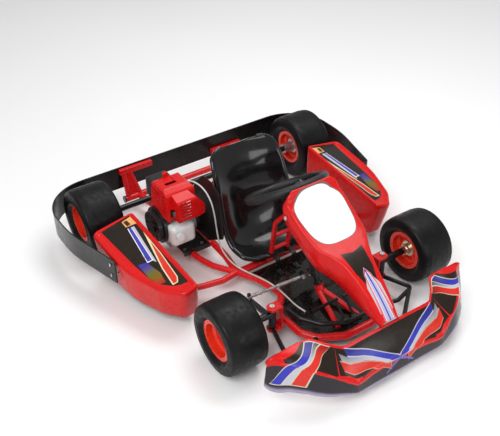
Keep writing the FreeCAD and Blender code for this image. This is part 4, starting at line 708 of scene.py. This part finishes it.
def seat_point(at, share, lift=0.0):
    """Point of the seat's inner face; share runs from -1 to 1 across it."""
    x, z, half, rise = smooth_share(SEAT_STATIONS, at)
    length = SEAT_STATIONS[-1][0]
    from_end = min(at, length - at)
    if from_end < SEAT_CORNER:
        half -= SEAT_CORNER - math.sqrt(max(SEAT_CORNER ** 2 - (SEAT_CORNER - from_end) ** 2, 0.0))
    ahead = smooth_share(SEAT_STATIONS, min(at + 2, length))
    behind = smooth_share(SEAT_STATIONS, max(at - 2, 0))
    heading = Vector((ahead[0] - behind[0], 0, ahead[1] - behind[1])).normalized()
    inward = Vector((-heading.z, 0, heading.x))
    centre = Vector((x, half * share, z)) + inward * (rise * abs(share) ** 2.5 + lift)
    return centre, inward


def build_seat():
    """Moulded bucket with an edge rolled outwards all round."""
    rows = []
    length = SEAT_STATIONS[-1][0]
    roll = [(9.0, -7.5), (10.5, -3.5), (8.5, -0.8), (5.0, 0.6)]
    for at in steps(0.0, length, 90):
        row = []
        for outward, lift in roll:
            point, inward = seat_point(at, -1.0, lift)
            row.append(point + Vector((0, -outward, 0)))
        for share in steps(-1.0, 1.0, 41):
            row.append(seat_point(at, share)[0])
        for outward, lift in reversed(roll):
            point, inward = seat_point(at, 1.0, lift)
            row.append(point + Vector((0, outward, 0)))
        rows.append([tuple(point) for point in row])
    piece = net("seat_shell", rows, FINISH["seat_black"])
    shell(piece, 4.0)
    place(piece, "chassis", "seat_black", "seat")


build_number_panel()
build_nose()
pod_finish = pod_material()
build_pod("left_pod_shell", "left_side_pod", 1, pod_finish)
build_pod("right_pod_shell", "right_side_pod", -1, pod_finish)
build_seat()


# ---- Studio -----------------------------------------------------------------------------------------------

FLOOR_REACH = 9000
FLOOR_Z = -1


def build_floor():
    """Pale seamless floor."""
    paint = Paint("studio_floor")
    unevenness = paint.ramp(paint.noise(0.8, 2.0), 0.3, 0.7)
    paint.set(Base_Color=paint.mix(unevenness, (0.93, 0.93, 0.93), (0.95, 0.95, 0.95)))
    paint.set(Roughness=0.7)
    rows = [[(x, y, FLOOR_Z) for x in (-FLOOR_REACH, FLOOR_REACH)] for y in (-FLOOR_REACH, FLOOR_REACH)]
    floor = net("floor", rows, paint.material)


def area_light(name, position, size, power):
    """Soft box that faces the middle of the kart."""
    data = bpy.data.lights.new(name, "AREA")
    data.shape = "RECTANGLE"
    data.size, data.size_y = size
    data.energy = power
    lamp = bpy.data.objects.new(name, data)
    lamp.location = position
    lamp.rotation_euler = (Vector((0, 0, 0.15)) - Vector(position)).to_track_quat("-Z", "Y").to_euler()
    bpy.context.scene.collection.objects.link(lamp)


def build_light():
    world = bpy.data.worlds.new("studio")
    world.use_nodes = True
    world.node_tree.nodes["Background"].inputs["Color"].default_value = (1.0, 1.0, 1.0, 1.0)
    world.node_tree.nodes["Background"].inputs["Strength"].default_value = 0.46
    bpy.context.scene.world = world
    area_light("key", (1.6, -2.4, 3.2), (2.2, 2.2), 90.0)
    area_light("top", (-0.6, 1.2, 3.6), (3.0, 1.6), 70.0)
    area_light("front", (3.4, 0.8, 1.2), (1.6, 1.0), 18.0)
    bpy.context.scene.view_settings.view_transform = "Standard"


def build_camera():
    """The viewing angle: front right, 36 degrees above the horizon."""
    data = bpy.data.cameras.new("camera")
    data.sensor_width = 36.0
    data.lens = 56.30
    camera = bpy.data.objects.new("camera", data)
    position = kart(1930.1, -1372.7, 1936.2)
    ahead = (kart(-369.5, 136.7, -46.4) - position).normalized()
    right = ahead.cross(Vector((0, 0, 1))).normalized()
    up = right.cross(ahead)
    roll = math.radians(-1.25)
    rolled_right = right * math.cos(roll) + up * math.sin(roll)
    rolled_up = up * math.cos(roll) - right * math.sin(roll)
    camera.matrix_world = Matrix((rolled_right, rolled_up, -ahead)).transposed().to_4x4()
    camera.location = position
    bpy.context.scene.collection.objects.link(camera)
    bpy.context.scene.camera = camera


build_floor()
build_light()
build_camera()
